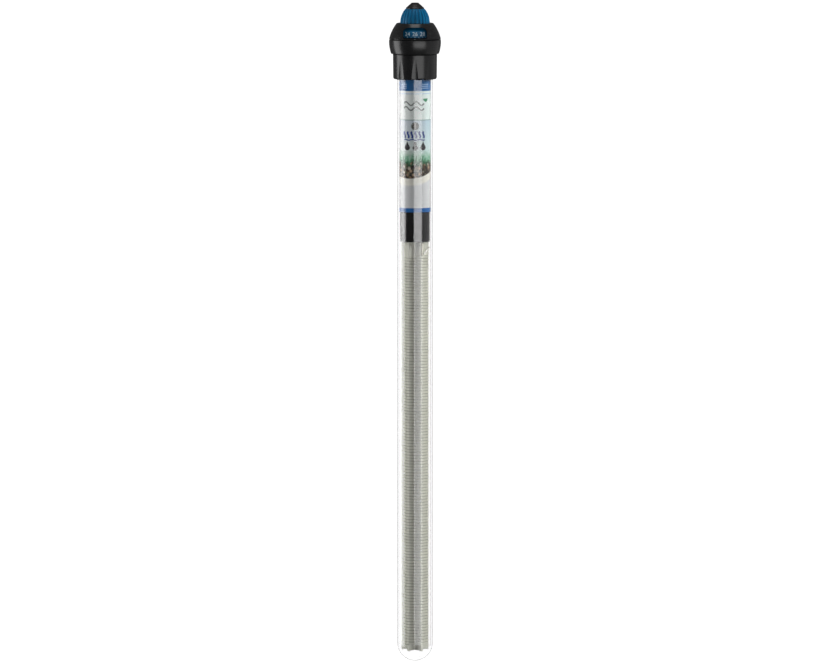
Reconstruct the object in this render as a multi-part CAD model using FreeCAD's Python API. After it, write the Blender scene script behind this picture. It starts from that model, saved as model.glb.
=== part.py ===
"""Submersible aquarium heater, as an assembly of separate sub-parts.

Frame: millimetres, +Z up along the tube's axis, -Y towards the label's front. The origin is on the
axis, in the plane of the union nut's underside, where the bare glass begins. The glass hangs below
it and the sealed head stands above it.
"""

import math
import os

import FreeCAD
import Part

V = FreeCAD.Vector

# ---- driving dimensions ----------------------------------------------------------------------
GLASS_R = 13.0  # outside of the glass tube, which the holder's clips grip
GLASS_WALL = 1.5
GLASS_LENGTH = 426.3  # from the nut's underside to the tip of the rounded end
NECK_R = 13.2  # the slightly thicker neck inside the nut
NECK_TOP = 18.6
GAP = 0.1  # gap between neighbours that don't seal
TOUCH = 0.02  # gap between neighbours that rest on each other

NUT_TOP_R, NUT_FOOT_R, NUT_TOP = 16.0, 15.8, 18.1
NUT_BORE_R, NUT_THREAD_R, NUT_LIP = 13.35, 14.2, 2.6
NUT_FLUTES, FLUTE_R, FLUTE_DEPTH, FLUTE_TOP = 9, 10.0, 0.52, 15.7

RING_TOP, RING_FOOT, RING_R = 28.5, 18.3, 18.8
SPIGOT_FOOT, SPIGOT_R, SPIGOT_BORE_R = 8.0, 14.1, 13.3
FLOOR_FOOT, FLOOR_TOP, CHAMBER_R = 18.8, 20.4, 16.4
BOSS_R, BOSS_TOP, SEAL_SEAT_R, SEAL_SEAT_FOOT = 5.0, 29.8, 3.4, 27.0
LEAD_HOLE_R, LEAD_HOLE_Y, LEAD_R, LEAD_X = 2.4, 8.6, 0.8, 1.05  # where the supply comes down

DOME_FOOT, DOME_TOP, DOME_R, DOME_WALL, DOME_HOLE_R = 28.9, 40.6, 18.75, 1.5, 11.4
WINDOW_HALF, WINDOW_FOOT, WINDOW_TOP, WINDOW_CORNER = 8.6, 30.0, 37.9, 3.4

DIAL_R, DIAL_FOOT, DIAL_TOP = 14.3, 30.3, 35.3  # the band that carries the temperature scale
KNOB_R, KNOB_BEND, KNOB_TOP, KNOB_TOP_R = 10.75, 40.8, 50.9, 7.0
KNOB_WALL, KNOB_FLUTES, KNOB_FLUTE_R, KNOB_FLUTE_PROUD = 1.5, 24, 0.75, 0.2
CAP_FOOT, CAP_TOP, CAP_FOOT_R, CAP_TOP_R, CAP_FLUTES = 51.0, 55.3, 6.7, 2.7, 8

SPINDLE_R, SPINDLE_FOOT, SPINDLE_TOP, SPLINE_R = 2.0, 2.0, 53.5, 2.6
SOCKET_SIDE, SHANK_SIDE, SCREW_R, BUSH_R = 2.0, 1.8, 1.45, 2.5

GLAND_Z, GLAND_R, GROMMET_R, CABLE_R, GLAND_END = 23.5, 4.7, 3.95, 3.1, 23.6

FILM_R, FILM_T, FILM_FOOT, FILM_TOP = 11.42, 0.2, -96.1, 3.8  # the printed label film
LAMP_Z, LAMP_Y, LAMP_R, LAMP_HOLE_R = -33.55, -7.6, 2.0, 2.1
SLEEVE_R, SLEEVE_WALL, SLEEVE_FOOT, SLEEVE_TOP = 10.85, 0.45, -118.0, -88.0
BOARD_Y, BOARD_T, BOARD_HALF, BOARD_FOOT, BOARD_TOP = 4.2, 1.6, 8.1, -104.9, 3.9
PLATE_T = 0.8  # sheet metal of the brackets, which stand on the board's front

CORE_RIBS, CORE_R, VALLEY_R, RIB_HALF_DEG, CORE_BORE_R = 6, 10.0, 5.2, 4.6, 1.9
CORE_TOP, CORE_FOOT, CORE_RECESS = -112.0, -418.0, 2.4
WIND_TOP, WIND_FOOT, WIND_T = -127.6, -414.4, 0.15

PIVOT_X, PIVOT_Z, ARM_Z, ARM_T = 7.0, -19.2, -16.15, 1.0  # the set lever's pin and its arm
STRIP_X, STRIP_T, STRIP_HALF, STRIP_TOP, STRIP_FOOT = 2.0, 0.5, 2.2, -31.0, -68.0
CONTACT_Z, CONTACT_GAP = -60.0, 1.6


# ---- helpers ---------------------------------------------------------------------------------
def cyl(r, z0, z1, x=0.0, y=0.0):
    """An upright cylinder from z0 to z1."""
    return Part.makeCylinder(r, z1 - z0, V(x, y, z0))


def rod(r, start, end):
    """A cylinder between two points."""
    start, end = V(*start), V(*end)
    return Part.makeCylinder(r, (end - start).Length, start, end - start)


def box(x0, x1, y0, y1, z0, z1):
    return Part.makeBox(x1 - x0, y1 - y0, z1 - z0, V(x0, y0, z0))


def ring(r_out, r_in, z0, z1, x=0.0, y=0.0):
    return cyl(r_out, z0, z1, x, y).cut(cyl(r_in, z0 - 1, z1 + 1, x, y))


def lathe(outline):
    """Turns an outline of (r, z) points about Z. Three points in a list make an arc, whose last
    point is the next edge's start."""
    edges, here, first = [], V(outline[0][0], 0, outline[0][1]), V(outline[0][0], 0, outline[0][1])
    for item in outline[1:]:
        if isinstance(item, list):
            middle, end = (V(r, 0, z) for r, z in item)
            edges.append(Part.Arc(here, middle, end).toShape())
        else:
            end = V(item[0], 0, item[1])
            edges.append(Part.LineSegment(here, end).toShape())
        here = end
    if (here - first).Length > 1e-9:
        edges.append(Part.LineSegment(here, first).toShape())
    return Part.Face(Part.Wire(edges)).revolve(V(0, 0, 0), V(0, 0, 1), 360)


def around(shape, count, start_deg=0.0):
    """Copies of a shape, spread evenly about Z."""
    copies = []
    for k in range(count):
        one = shape.copy()
        one.rotate(V(0, 0, 0), V(0, 0, 1), start_deg + 360.0 * k / count)
        copies.append(one)
    return copies


def prism(points, z0, z1):
    """A closed outline of (x, y) points, raised from z0 to z1."""
    wire = Part.makePolygon([V(x, y, z0) for x, y in [*points, points[0]]])
    return Part.Face(wire).extrude(V(0, 0, z1 - z0))


def spring(r, wire_r, pitch, height, x, y, z0):
    """An open compression spring with its foot's centre at (x, y, z0)."""
    helix = Part.makeHelix(pitch, height, r)
    profile = Part.Wire(Part.Circle(V(r, 0, 0), V(0, 1, 0), wire_r).toShape())
    coil = Part.Wire(helix.Edges).makePipeShell([profile], True, True)
    coil.translate(V(x, y, z0))
    return coil


# ---- glass, nut and seals --------------------------------------------------------------------
def glass_tube():
    """Tube with a round end and a slightly thicker neck, which the gasket grips."""
    centre = GLASS_R - GLASS_LENGTH
    inner = GLASS_R - GLASS_WALL
    slant = math.sqrt(0.5)
    return lathe([
        (0, -GLASS_LENGTH),
        [(GLASS_R * slant, centre - GLASS_R * slant), (GLASS_R, centre)],
        (GLASS_R, 0),
        (NECK_R, 1.2),
        (NECK_R, NECK_TOP - 0.4),
        (NECK_R - 0.4, NECK_TOP),
        (inner + 0.4, NECK_TOP),
        (inner, NECK_TOP - 0.4),
        (inner, centre),
        [(inner * slant, centre - inner * slant), (0, centre - inner)],
    ])


def union_nut():
    """Nut that squeezes the gasket. Nine flutes deepen towards its foot, each a pointed arch."""
    body = lathe([
        (NUT_BORE_R, 0),
        (NUT_FOOT_R - 1.7, 0),
        [(NUT_FOOT_R - 0.5, 0.5), (NUT_FOOT_R, 1.7)],
        (NUT_TOP_R, NUT_TOP - 0.4),
        (NUT_TOP_R - 0.4, NUT_TOP),
        (NUT_THREAD_R, NUT_TOP),
        (NUT_THREAD_R, NUT_LIP),
        (NUT_BORE_R, NUT_LIP),
    ])
    below = 3.0
    slope = FLUTE_DEPTH / FLUTE_TOP
    foot_y = NUT_FOOT_R - FLUTE_DEPTH - slope * below + FLUTE_R
    top_y = NUT_TOP_R + slope * (NUT_TOP - FLUTE_TOP) + FLUTE_R
    cutter = rod(FLUTE_R, (0, -foot_y, -below), (0, -top_y, NUT_TOP))
    return body.cut(around(cutter, NUT_FLUTES))


def slip_ring():
    """Flat ring that lets the nut turn without dragging the gasket."""
    return ring(SPIGOT_R, NECK_R + GAP, NUT_LIP + 0.05, NUT_LIP + 1.1)


def tube_gasket():
    """Rubber ring between the spigot's end and the slip ring, tight on the glass."""
    foot, top = NUT_LIP + 1.15, SPIGOT_FOOT - 0.05
    return lathe([
        (NECK_R + TOUCH, foot),
        (SPIGOT_R - 0.05, foot),
        (SPIGOT_R - 0.05, top - 0.8),
        (SPIGOT_R - 0.4, top),
        (NECK_R + TOUCH, top),
    ])


# ---- head ------------------------------------------------------------------------------------
def head_body():
    """Socket for the glass, floor, spindle boss and flared ring, with the cable gland behind."""
    body = lathe([
        (SPIGOT_BORE_R, SPIGOT_FOOT),
        (SPIGOT_R, SPIGOT_FOOT),
        (SPIGOT_R, RING_FOOT),
        (RING_R - 2.2, RING_FOOT),
        [(RING_R - 1.7, RING_FOOT + 0.2), (RING_R - 1.5, RING_FOOT + 0.7)],
        [(RING_R - 0.3, 23.4), (RING_R, RING_TOP - 0.4)],
        (RING_R - 0.4, RING_TOP),
        (CHAMBER_R, RING_TOP),
        (CHAMBER_R, FLOOR_TOP),
        (BOSS_R, FLOOR_TOP),
        (BOSS_R, BOSS_TOP),
        (SEAL_SEAT_R, BOSS_TOP),
        (SEAL_SEAT_R, SEAL_SEAT_FOOT),
        (SPINDLE_R + 0.05, SEAL_SEAT_FOOT),
        (SPINDLE_R + 0.05, FLOOR_FOOT),
        (SPIGOT_BORE_R, FLOOR_FOOT),
    ])
    stub = rod(GLAND_R, (0, CHAMBER_R + 0.6, GLAND_Z), (0, GLAND_END, GLAND_Z))
    seat = rod(GROMMET_R + TOUCH, (0, CHAMBER_R - 2, GLAND_Z), (0, GLAND_END + 1, GLAND_Z))
    lead_hole = cyl(LEAD_HOLE_R, FLOOR_FOOT - 1, FLOOR_TOP + 1, 0, LEAD_HOLE_Y)
    stop = box(-0.8, 0.8, SEAL_SEAT_R + 0.15, BOSS_R - 0.15, BOSS_TOP - 0.5, BOSS_TOP + 1.4)
    return body.fuse([stub, stop]).cut([seat, lead_hole]).removeSplitter()


def lead_potting():
    """Cast resin in the floor's hole and over it, where the cable's cores come in."""
    plug = cyl(LEAD_HOLE_R - TOUCH, FLOOR_FOOT, FLOOR_TOP + 1, 0, LEAD_HOLE_Y)
    mound = cyl(3.2, FLOOR_TOP + TOUCH, FLOOR_TOP + 3.2, 0, LEAD_HOLE_Y + 0.3)
    sides = (-LEAD_X, LEAD_X)
    holes = [cyl(LEAD_R + TOUCH, FLOOR_FOOT - 1, FLOOR_TOP + 5, x, LEAD_HOLE_Y) for x in sides]
    return plug.fuse(mound).cut(holes).cut(cyl(BOSS_R + GAP, FLOOR_TOP - 1, 40)).removeSplitter()


def cable_grommet():
    """Rubber sleeve with a flange. The supply cable passes through its bore."""
    body = rod(GROMMET_R, (0, CHAMBER_R + 0.05, GLAND_Z), (0, GLAND_END + 0.6, GLAND_Z))
    flange = rod(GLAND_R, (0, GLAND_END + TOUCH, GLAND_Z), (0, GLAND_END + 1.4, GLAND_Z))
    lip = rod(GROMMET_R + 0.35, (0, GLAND_END + 1.0, GLAND_Z), (0, GLAND_END + 1.9, GLAND_Z))
    bore = rod(CABLE_R, (0, CHAMBER_R - 5, GLAND_Z), (0, GLAND_END + 5, GLAND_Z))
    return body.fuse([flange, lip]).cut(bore).removeSplitter()


def dome_cover():
    """Cover over the dial, with a round top opening for the knob and an arched window in front."""
    shell = lathe([
        (CHAMBER_R - GAP, DOME_FOOT - 2.2),
        (CHAMBER_R - GAP, DOME_FOOT),
        (DOME_R - 0.4, DOME_FOOT),
        (DOME_R, DOME_FOOT + 0.4),
        [(16.75, 34.9), (13.5, DOME_TOP - 0.35)],
        [(12.6, DOME_TOP), (DOME_HOLE_R + 0.2, DOME_TOP - 0.5)],
        (DOME_HOLE_R, DOME_TOP - 1.0),
        (DOME_HOLE_R, DOME_TOP - 1.9),
        (12.6, DOME_TOP - 1.7),
        [(15.2, 34.6), (CHAMBER_R - 1.1, DOME_FOOT - 0.4)],
        (CHAMBER_R - 1.1, DOME_FOOT - 2.2),
    ])
    top = WINDOW_HALF - WINDOW_CORNER
    shoulder = WINDOW_TOP - WINDOW_CORNER
    reach = WINDOW_CORNER * math.sqrt(0.5)
    window = Part.Wire([edge.toShape() for edge in (
        Part.LineSegment(V(-WINDOW_HALF, 0, WINDOW_FOOT), V(WINDOW_HALF, 0, WINDOW_FOOT)),
        Part.LineSegment(V(WINDOW_HALF, 0, WINDOW_FOOT), V(WINDOW_HALF, 0, shoulder)),
        Part.Arc(V(WINDOW_HALF, 0, shoulder), V(top + reach, 0, shoulder + reach), V(top, 0, WINDOW_TOP)),
        Part.LineSegment(V(top, 0, WINDOW_TOP), V(-top, 0, WINDOW_TOP)),
        Part.Arc(V(-top, 0, WINDOW_TOP), V(-top - reach, 0, shoulder + reach), V(-WINDOW_HALF, 0, shoulder)),
        Part.LineSegment(V(-WINDOW_HALF, 0, shoulder), V(-WINDOW_HALF, 0, WINDOW_FOOT)),
    )])
    return shell.cut(Part.Face(window).extrude(V(0, -30, 0)))


# ---- knob, spindle and seal ------------------------------------------------------------------
def knob_arc():
    """(centre r, radius) of the bell's side, an arc that leaves the straight part upright."""
    rise = KNOB_TOP - KNOB_BEND
    step = KNOB_R - KNOB_TOP_R
    radius = (step * step + rise * rise) / (2 * step)
    return KNOB_R - radius, radius


def on_arc(centre, radius, z):
    return centre + math.sqrt(radius * radius - (z - KNOB_BEND) ** 2)


def dial_knob():
    """Fluted bell with the scale's band as its skirt, hollow, with a hub for the spindle."""
    centre, radius = knob_arc()
    thin = radius - KNOB_WALL
    roof = KNOB_TOP - 4.5
    hub_r, seat_r, seat_z = 5.0, 4.0, KNOB_TOP - 3.3
    body = lathe([
        (DIAL_R - 1.2, DIAL_FOOT),
        (DIAL_R, DIAL_FOOT),
        (DIAL_R, DIAL_TOP),
        (KNOB_R + 0.6, DIAL_TOP + 2.9),
        (KNOB_R, DIAL_TOP + 3.5),
        (KNOB_R, KNOB_BEND),
        [(on_arc(centre, radius, 46.6), 46.6), (KNOB_TOP_R, KNOB_TOP)],
        (seat_r, KNOB_TOP),
        (seat_r, seat_z),
        (SPLINE_R + 0.06, seat_z),
        (SPLINE_R + 0.06, 32.6),
        (hub_r, 32.6),
        (hub_r, roof),
        (on_arc(centre, thin, roof), roof),
        [(on_arc(centre, thin, 43.5), 43.5), (KNOB_R - KNOB_WALL, KNOB_BEND)],
        (KNOB_R - KNOB_WALL, DIAL_TOP + 2.6),
        (DIAL_R - 1.2, DIAL_TOP - 1.0),
    ])
    groove_r = radius + KNOB_FLUTE_PROUD
    curved = Part.makeTorus(groove_r, KNOB_FLUTE_R, V(centre, 0, KNOB_BEND), V(0, 1, 0))
    curved = curved.common(box(0, 20, -2, 2, KNOB_BEND, KNOB_TOP + 3))
    foot = DIAL_TOP + 4.3
    straight = cyl(KNOB_FLUTE_R, foot, KNOB_BEND, KNOB_R + KNOB_FLUTE_PROUD)
    ball = Part.makeSphere(KNOB_FLUTE_R, V(KNOB_R + KNOB_FLUTE_PROUD, 0, foot))
    cutter = straight.fuse([curved, ball])
    return body.cut(around(cutter, KNOB_FLUTES))


def spindle_cap():
    """Black tip, fixed on the spindle. The knob turns against it when the scale is calibrated."""
    body = lathe([
        (0, CAP_TOP),
        (CAP_TOP_R - 0.6, CAP_TOP),
        [(CAP_TOP_R - 0.1, CAP_TOP - 0.15), (CAP_TOP_R + 0.35, CAP_TOP - 0.55)],
        [(4.95, 53.1), (CAP_FOOT_R, CAP_FOOT + 0.5)],
        (CAP_FOOT_R, CAP_FOOT),
        (3.8, CAP_FOOT),
        (3.8, CAP_FOOT - 1.2),
        (0, CAP_FOOT - 1.2),
    ])
    stem_hole = cyl(1.82, CAP_FOOT - 2, SPINDLE_TOP + 0.1)
    groove = rod(0.7, (CAP_FOOT_R + 1.0, 0, CAP_FOOT - 0.1), (CAP_TOP_R - 0.2, 0, CAP_TOP + 0.35))
    return body.cut(stem_hole).cut(around(groove, CAP_FLUTES, 22.5))


def spindle():
    """Shaft from the cap through the seal, with a stop lug and a square socket in its foot."""
    clip_groove = ring(SPINDLE_R + 1, 1.6, FLOOR_FOOT - 1.3, FLOOR_FOOT - 0.4)
    shaft = cyl(SPINDLE_R, SPINDLE_FOOT, 32.0).cut(clip_groove)
    flange = cyl(3.3, BOSS_TOP + 0.3, BOSS_TOP + 1.5)
    lug = box(-0.9, 0.9, -BOSS_R, 0, BOSS_TOP + 0.3, BOSS_TOP + 1.5)
    spline = cyl(SPLINE_R, BOSS_TOP + 1.0, KNOB_TOP - 3.4)
    end = cyl(1.8, KNOB_TOP - 5, SPINDLE_TOP)
    half = SOCKET_SIDE / 2
    socket = box(-half, half, -half, half, SPINDLE_FOOT - 1, 14.0)
    return shaft.fuse([flange, lug, spline, end]).cut(socket).removeSplitter()


def seal_ring():
    """O-ring round the spindle, in the boss's seat."""
    middle = (SPINDLE_R + SEAL_SEAT_R) / 2
    minor = (SEAL_SEAT_R - SPINDLE_R) / 2 - 0.04
    return Part.makeTorus(middle, minor, V(0, 0, SEAL_SEAT_FOOT + minor + 0.05), V(0, 0, 1))


def seal_keeper():
    """Ring pressed in over the O-ring."""
    return ring(SEAL_SEAT_R - TOUCH, SPINDLE_R + 0.08, SEAL_SEAT_FOOT + 1.5, BOSS_TOP)


def spindle_clip():
    """Circlip under the floor, which keeps the spindle from lifting out."""
    clip = ring(3.3, 1.65, FLOOR_FOOT - 1.2, FLOOR_FOOT - 0.5)
    return clip.cut(box(-0.9, 0.9, 0, 5, FLOOR_FOOT - 2, FLOOR_FOOT))


def detent_spring():
    """Dished spring washer between knob and cap, so that the scale stays where it was set."""
    low, high = KNOB_TOP - 3.2, KNOB_TOP - 1.2 - TOUCH
    return lathe([(3.7, low), (3.85, low + 0.4), (2.4, high), (2.1, high - 0.4)])


# ---- thermostat ------------------------------------------------------------------------------
# (x, z) of the rivets that hold brackets, clip and terminals on the board
RIVETS = [(-3.0, -5.0), (3.0, -5.0), (3.0, -23.5), (-6.4, LAMP_Z - 3.8), (4.8, -56.5), (4.8, -70.5),
          (-6.4, -1.5), (6.4, -1.5)]
RIVET_R = 0.8
PLATE_FRONT = BOARD_Y - PLATE_T - TOUCH


def plate(x0, x1, z0, z1):
    """A bracket's foot, flat on the board's front."""
    return box(x0, x1, PLATE_FRONT, BOARD_Y - TOUCH, z0, z1)


def across(r, x, z):
    """A cutter along Y, right through the thermostat."""
    return rod(r, (x, -12, z), (x, 12, z))


def along(r, z, y=0.0):
    """A cutter along X, right through the thermostat."""
    return rod(r, (-12, y, z), (12, y, z))


def rivet_holes(*numbers):
    return [across(RIVET_R + TOUCH, *RIVETS[k]) for k in numbers]


def carrier_board():
    """Laminate board that carries the whole thermostat."""
    board = box(-BOARD_HALF, BOARD_HALF, BOARD_Y, BOARD_Y + BOARD_T, BOARD_FOOT, BOARD_TOP)
    return board.cut(rivet_holes(*range(len(RIVETS))))


def board_rivets():
    """Rivets through the board, headed at both ends."""
    back = BOARD_Y + BOARD_T
    made = []
    for x, z in RIVETS:
        head = rod(1.35, (x, PLATE_FRONT - 0.6, z), (x, PLATE_FRONT - TOUCH, z))
        shank = rod(RIVET_R, (x, PLATE_FRONT - 0.3, z), (x, back + 0.3, z))
        tail = rod(1.2, (x, back + TOUCH, z), (x, back + 0.5, z))
        made.append(head.fuse([shank, tail]).removeSplitter())
    return Part.makeCompound(made)


def bush_bracket():
    """Bent steel bracket that holds the threaded bush over the lever."""
    shelf = box(-4.4, 4.4, -4.4, BOARD_Y - TOUCH, -12.4, -11.6)
    shape = plate(-4.4, 4.4, -12.4, -1.5).fuse(shelf)
    return shape.cut([cyl(BUSH_R + TOUCH, -14, -10), *rivet_holes(0, 1)]).removeSplitter()


def threaded_bush():
    """Brass nut for the adjusting screw, seated on the bracket's shelf."""
    body = cyl(BUSH_R, -12.4, -11.0).fuse(cyl(3.2, -11.58, -6.4))
    return body.cut(cyl(SCREW_R + 0.05, -14, 0)).removeSplitter()


def adjusting_screw():
    """Turned by its square shank in the spindle's socket. Its nose sets the lever."""
    half = SHANK_SIDE / 2
    shank = box(-half, half, -half, half, -3.0, 8.0)
    thread = cyl(SCREW_R, -14.4, -2.6)
    nose = Part.makeCone(SCREW_R, 0.8, 0.9, V(0, 0, -14.4), V(0, 0, -1))
    point = Part.makeSphere(0.8, V(0, 0, ARM_Z + 0.8 + TOUCH))
    return shank.fuse([thread, nose, point]).removeSplitter()


def lever_bracket():
    """Plate behind the lever, with the pivot pin's hole and the return spring's shelf."""
    ear = plate(PIVOT_X - 2.0, 8.0, PIVOT_Z - 2.0, PIVOT_Z + 2.0)
    link = plate(0.6, 8.0, -25.6, PIVOT_Z - 1.5)
    shelf = box(0.6, 4.6, -2.2, BOARD_Y - TOUCH, -26.2, -25.4)
    peg = cyl(0.85, -25.5, -23.4, 2.6, 0)
    pin_hole = across(RIVET_R + TOUCH, PIVOT_X, PIVOT_Z)
    return ear.fuse([link, shelf, peg]).cut([pin_hole, *rivet_holes(2)]).removeSplitter()


def pivot_pin():
    """Pin that the set lever turns on, riveted in the plate."""
    pin = rod(RIVET_R, (PIVOT_X, -2.9, PIVOT_Z), (PIVOT_X, BOARD_Y - 0.05, PIVOT_Z))
    head = rod(1.3, (PIVOT_X, -3.4, PIVOT_Z), (PIVOT_X, -2.7, PIVOT_Z))
    return pin.fuse(head).removeSplitter()


TAB_X = STRIP_X + STRIP_T / 2 + TOUCH  # the lever's tab, against the strip's back
TAB_T = 0.8
STRIP_RIVET_Z, STRIP_RIVET_Y = -34.0, 1.2


def set_lever():
    """Bell crank: the screw's nose bears on its arm, and its tab carries the bimetal strip."""
    side = (PIVOT_X - 0.5, PIVOT_X + 0.5)
    arm = box(-1.6, side[1], -2.0, 2.0, ARM_Z - ARM_T, ARM_Z)
    hub = rod(1.6, (PIVOT_X, -2.5, PIVOT_Z), (PIVOT_X, 2.6, PIVOT_Z))
    leg = box(*side, -2.0, 2.0, STRIP_TOP, ARM_Z)
    web = box(TAB_X, side[1], -2.0, 2.0, STRIP_TOP, STRIP_TOP + 0.8)
    tab = box(TAB_X, TAB_X + TAB_T, -2.0, 2.0, -37.0, STRIP_TOP + 0.8)
    pin_hole = across(RIVET_R + 0.04, PIVOT_X, PIVOT_Z)
    rivets = [along(0.65, STRIP_RIVET_Z, y) for y in (-STRIP_RIVET_Y, STRIP_RIVET_Y)]
    return arm.fuse([hub, leg, web, tab]).cut([pin_hole, *rivets]).removeSplitter()


def return_spring():
    """Spring under the arm, which keeps it against the screw."""
    return spring(1.4, 0.22, 1.3, 7.4, 2.6, 0, -25.1)


def bimetal_strip():
    """Two-layer strip. Heat bends it away from the fixed contact."""
    half = STRIP_T / 2
    top = STRIP_TOP - 0.4
    strip = box(STRIP_X - half, STRIP_X + half, -STRIP_HALF, STRIP_HALF, STRIP_FOOT, top)
    rivets = [along(0.62, STRIP_RIVET_Z, y) for y in (-STRIP_RIVET_Y, STRIP_RIVET_Y)]
    return strip.cut([along(0.62, CONTACT_Z), *rivets])


def strip_rivets():
    """Two rivets through strip and tab, with room for the strip to bend."""
    front, back = STRIP_X - STRIP_T / 2, TAB_X + TAB_T
    made = []
    for y in (-STRIP_RIVET_Y, STRIP_RIVET_Y):
        head = rod(0.95, (front - 0.6, y, STRIP_RIVET_Z), (front - TOUCH, y, STRIP_RIVET_Z))
        shank = rod(0.6, (front - 0.3, y, STRIP_RIVET_Z), (back + 0.5, y, STRIP_RIVET_Z))
        tail = rod(0.95, (back + 0.18, y, STRIP_RIVET_Z), (back + 0.7, y, STRIP_RIVET_Z))
        made.append(head.fuse([shank, tail]).removeSplitter())
    return Part.makeCompound(made)


def moving_contact():
    """Silver rivet in the strip."""
    front, back = STRIP_X - STRIP_T / 2, STRIP_X + STRIP_T / 2
    head = rod(1.4, (back + TOUCH, 0, CONTACT_Z), (back + 1.2, 0, CONTACT_Z))
    shank = rod(0.6, (front - 0.3, 0, CONTACT_Z), (back + 0.5, 0, CONTACT_Z))
    tail = rod(0.95, (front - 0.5, 0, CONTACT_Z), (front - TOUCH, 0, CONTACT_Z))
    return head.fuse([shank, tail]).removeSplitter()


FIXED_FACE = STRIP_X + STRIP_T / 2 + 1.2 + CONTACT_GAP
FIXED_PLATE = FIXED_FACE + 1.2


def fixed_bracket():
    """Angle bracket that carries the fixed contact and the magnet."""
    web = box(FIXED_PLATE, FIXED_PLATE + PLATE_T, -2.4, BOARD_Y - TOUCH, -73.0, -54.0)
    foot = plate(3.2, FIXED_PLATE + PLATE_T, -73.0, -54.0)
    return web.fuse(foot).cut([along(0.82, CONTACT_Z), *rivet_holes(4, 5)]).removeSplitter()


def fixed_contact():
    """Silver rivet that the moving contact meets."""
    back = FIXED_PLATE + PLATE_T
    head = rod(1.5, (FIXED_FACE, 0, CONTACT_Z), (FIXED_PLATE - TOUCH, 0, CONTACT_Z))
    shank = rod(0.8, (FIXED_PLATE - 0.5, 0, CONTACT_Z), (back + 0.3, 0, CONTACT_Z))
    tail = rod(1.2, (back + TOUCH, 0, CONTACT_Z), (back + 0.5, 0, CONTACT_Z))
    return head.fuse([shank, tail]).removeSplitter()


def snap_magnet():
    """Small magnet that makes the contacts close with a snap."""
    return box(FIXED_PLATE - 1.6, FIXED_PLATE - TOUCH, -1.9, 1.9, -68.6, -64.6)


def pilot_lamp():
    """Neon lamp behind the label's round window."""
    bulb = cyl(LAMP_R, LAMP_Z - 4.6, LAMP_Z + 3.6, 0, LAMP_Y)
    nose = Part.makeSphere(LAMP_R, V(0, LAMP_Y, LAMP_Z + 3.6))
    return bulb.fuse(nose).removeSplitter()


def lamp_clip():
    """Moulded arm on the board that holds the lamp by its foot."""
    low, high = LAMP_Z - 6.0, LAMP_Z - 2.6
    arm = box(-7.6, -5.6, -7.0, BOARD_Y - TOUCH, low, high)
    bridge = box(-7.6, 0, LAMP_Y - 1.2, LAMP_Y + 1.2, low, high)
    collar = cyl(3.0, low, high, 0, LAMP_Y)
    foot = plate(-7.9, -4.8, low, high + 0.8)
    lamp_seat = cyl(LAMP_R + TOUCH, LAMP_Z - 4.6 - TOUCH, high + 1, 0, LAMP_Y)
    x, z = RIVETS[3]
    rivet_room = rod(1.4, (x, -12, z), (x, PLATE_FRONT, z))
    shape = arm.fuse([bridge, collar, foot]).common(cyl(FILM_R - FILM_T - 0.25, low - 5, high + 5))
    return shape.cut([lamp_seat, rivet_room, *rivet_holes(3)]).removeSplitter()


def lamp_resistor():
    body = cyl(1.15, -56.0, -49.0, -5.0, 1.6)
    ends = [cyl(0.3, -59.0, -55.9, -5.0, 1.6), cyl(0.3, -49.1, -46.0, -5.0, 1.6)]
    return body.fuse(ends).removeSplitter()


def capacitor():
    """Suppression capacitor on the back of the board."""
    back = BOARD_Y + BOARD_T + TOUCH
    body = box(-4.6, 4.6, back, back + 3.7, -52.0, -40.0)
    return body.makeFillet(0.7, body.Edges)


def thermal_fuse():
    """Cut-out against dry running, low on the back of the board."""
    middle = BOARD_Y + BOARD_T + 1.97
    body = cyl(1.95, -98.0, -87.0, 0, middle)
    ends = [cyl(0.45, -101.0, -97.9, 0, middle), cyl(0.45, -87.1, -84.0, 0, middle)]
    return body.fuse(ends).removeSplitter()


def terminals():
    """Two blades where the supply leads join the board."""
    left = plate(-8.0, -5.0, -4.0, 3.2)
    right = plate(5.0, 8.0, -4.0, 3.2)
    return Part.makeCompound([left.cut(rivet_holes(6)), right.cut(rivet_holes(7))])


SOLDER_X = 7.1
SOLDER_Y = PLATE_FRONT - LEAD_R


def top_spider():
    """Disc that centres the board in the tube's neck, over the label."""
    disc = cyl(11.15, BOARD_TOP + 0.05, BOARD_TOP + 2.05)
    holes = [cyl(LEAD_R + GAP, 0, 10, x, SOLDER_Y) for x in (-SOLDER_X, SOLDER_X)]
    notches = around(cyl(1.6, 0, 10, 11.6), 3, 30)
    return disc.cut([cyl(SPINDLE_R + 0.4, 0, 10), *holes, *notches])


def polyline(r, points):
    """A round lead through the points, with a ball at each bend."""
    runs = [rod(r, a, b) for a, b in zip(points, points[1:])]
    bends = [Part.makeSphere(r, V(*p)) for p in points[1:-1]]
    return runs[0].fuse([*runs[1:], *bends]).removeSplitter()


def supply_leads():
    """The two insulated cores, from the resin plug to the terminals."""
    made = []
    for side in (-1, 1):
        made.append(polyline(LEAD_R, [
            (side * LEAD_X, LEAD_HOLE_Y, FLOOR_TOP + 2.4),
            (side * LEAD_X, LEAD_HOLE_Y, 15.0),
            (side * SOLDER_X, SOLDER_Y, 9.5),
            (side * SOLDER_X, SOLDER_Y, 0.5),
        ]))
    return Part.makeCompound(made)


def label_film():
    """Printed film rolled against the glass, with a round window over the lamp."""
    film = ring(FILM_R, FILM_R - FILM_T, FILM_FOOT, FILM_TOP)
    return film.cut(rod(LAMP_HOLE_R, (0, -20, LAMP_Z), (0, -5, LAMP_Z)))


# ---- heating element -------------------------------------------------------------------------
LEAD_SPOT_R, LEAD_SPOT_DEG, WIRE_LEAD_R = CORE_R - 0.45, 30.0, 0.45


def polar(r, degrees_from_front, z):
    """A point by its radius and its turn from -Y towards +X."""
    a = math.radians(degrees_from_front - 90.0)
    return (r * math.cos(a), r * math.sin(a), z)


START = polar(LEAD_SPOT_R, LEAD_SPOT_DEG, 0)[:2]


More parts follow.
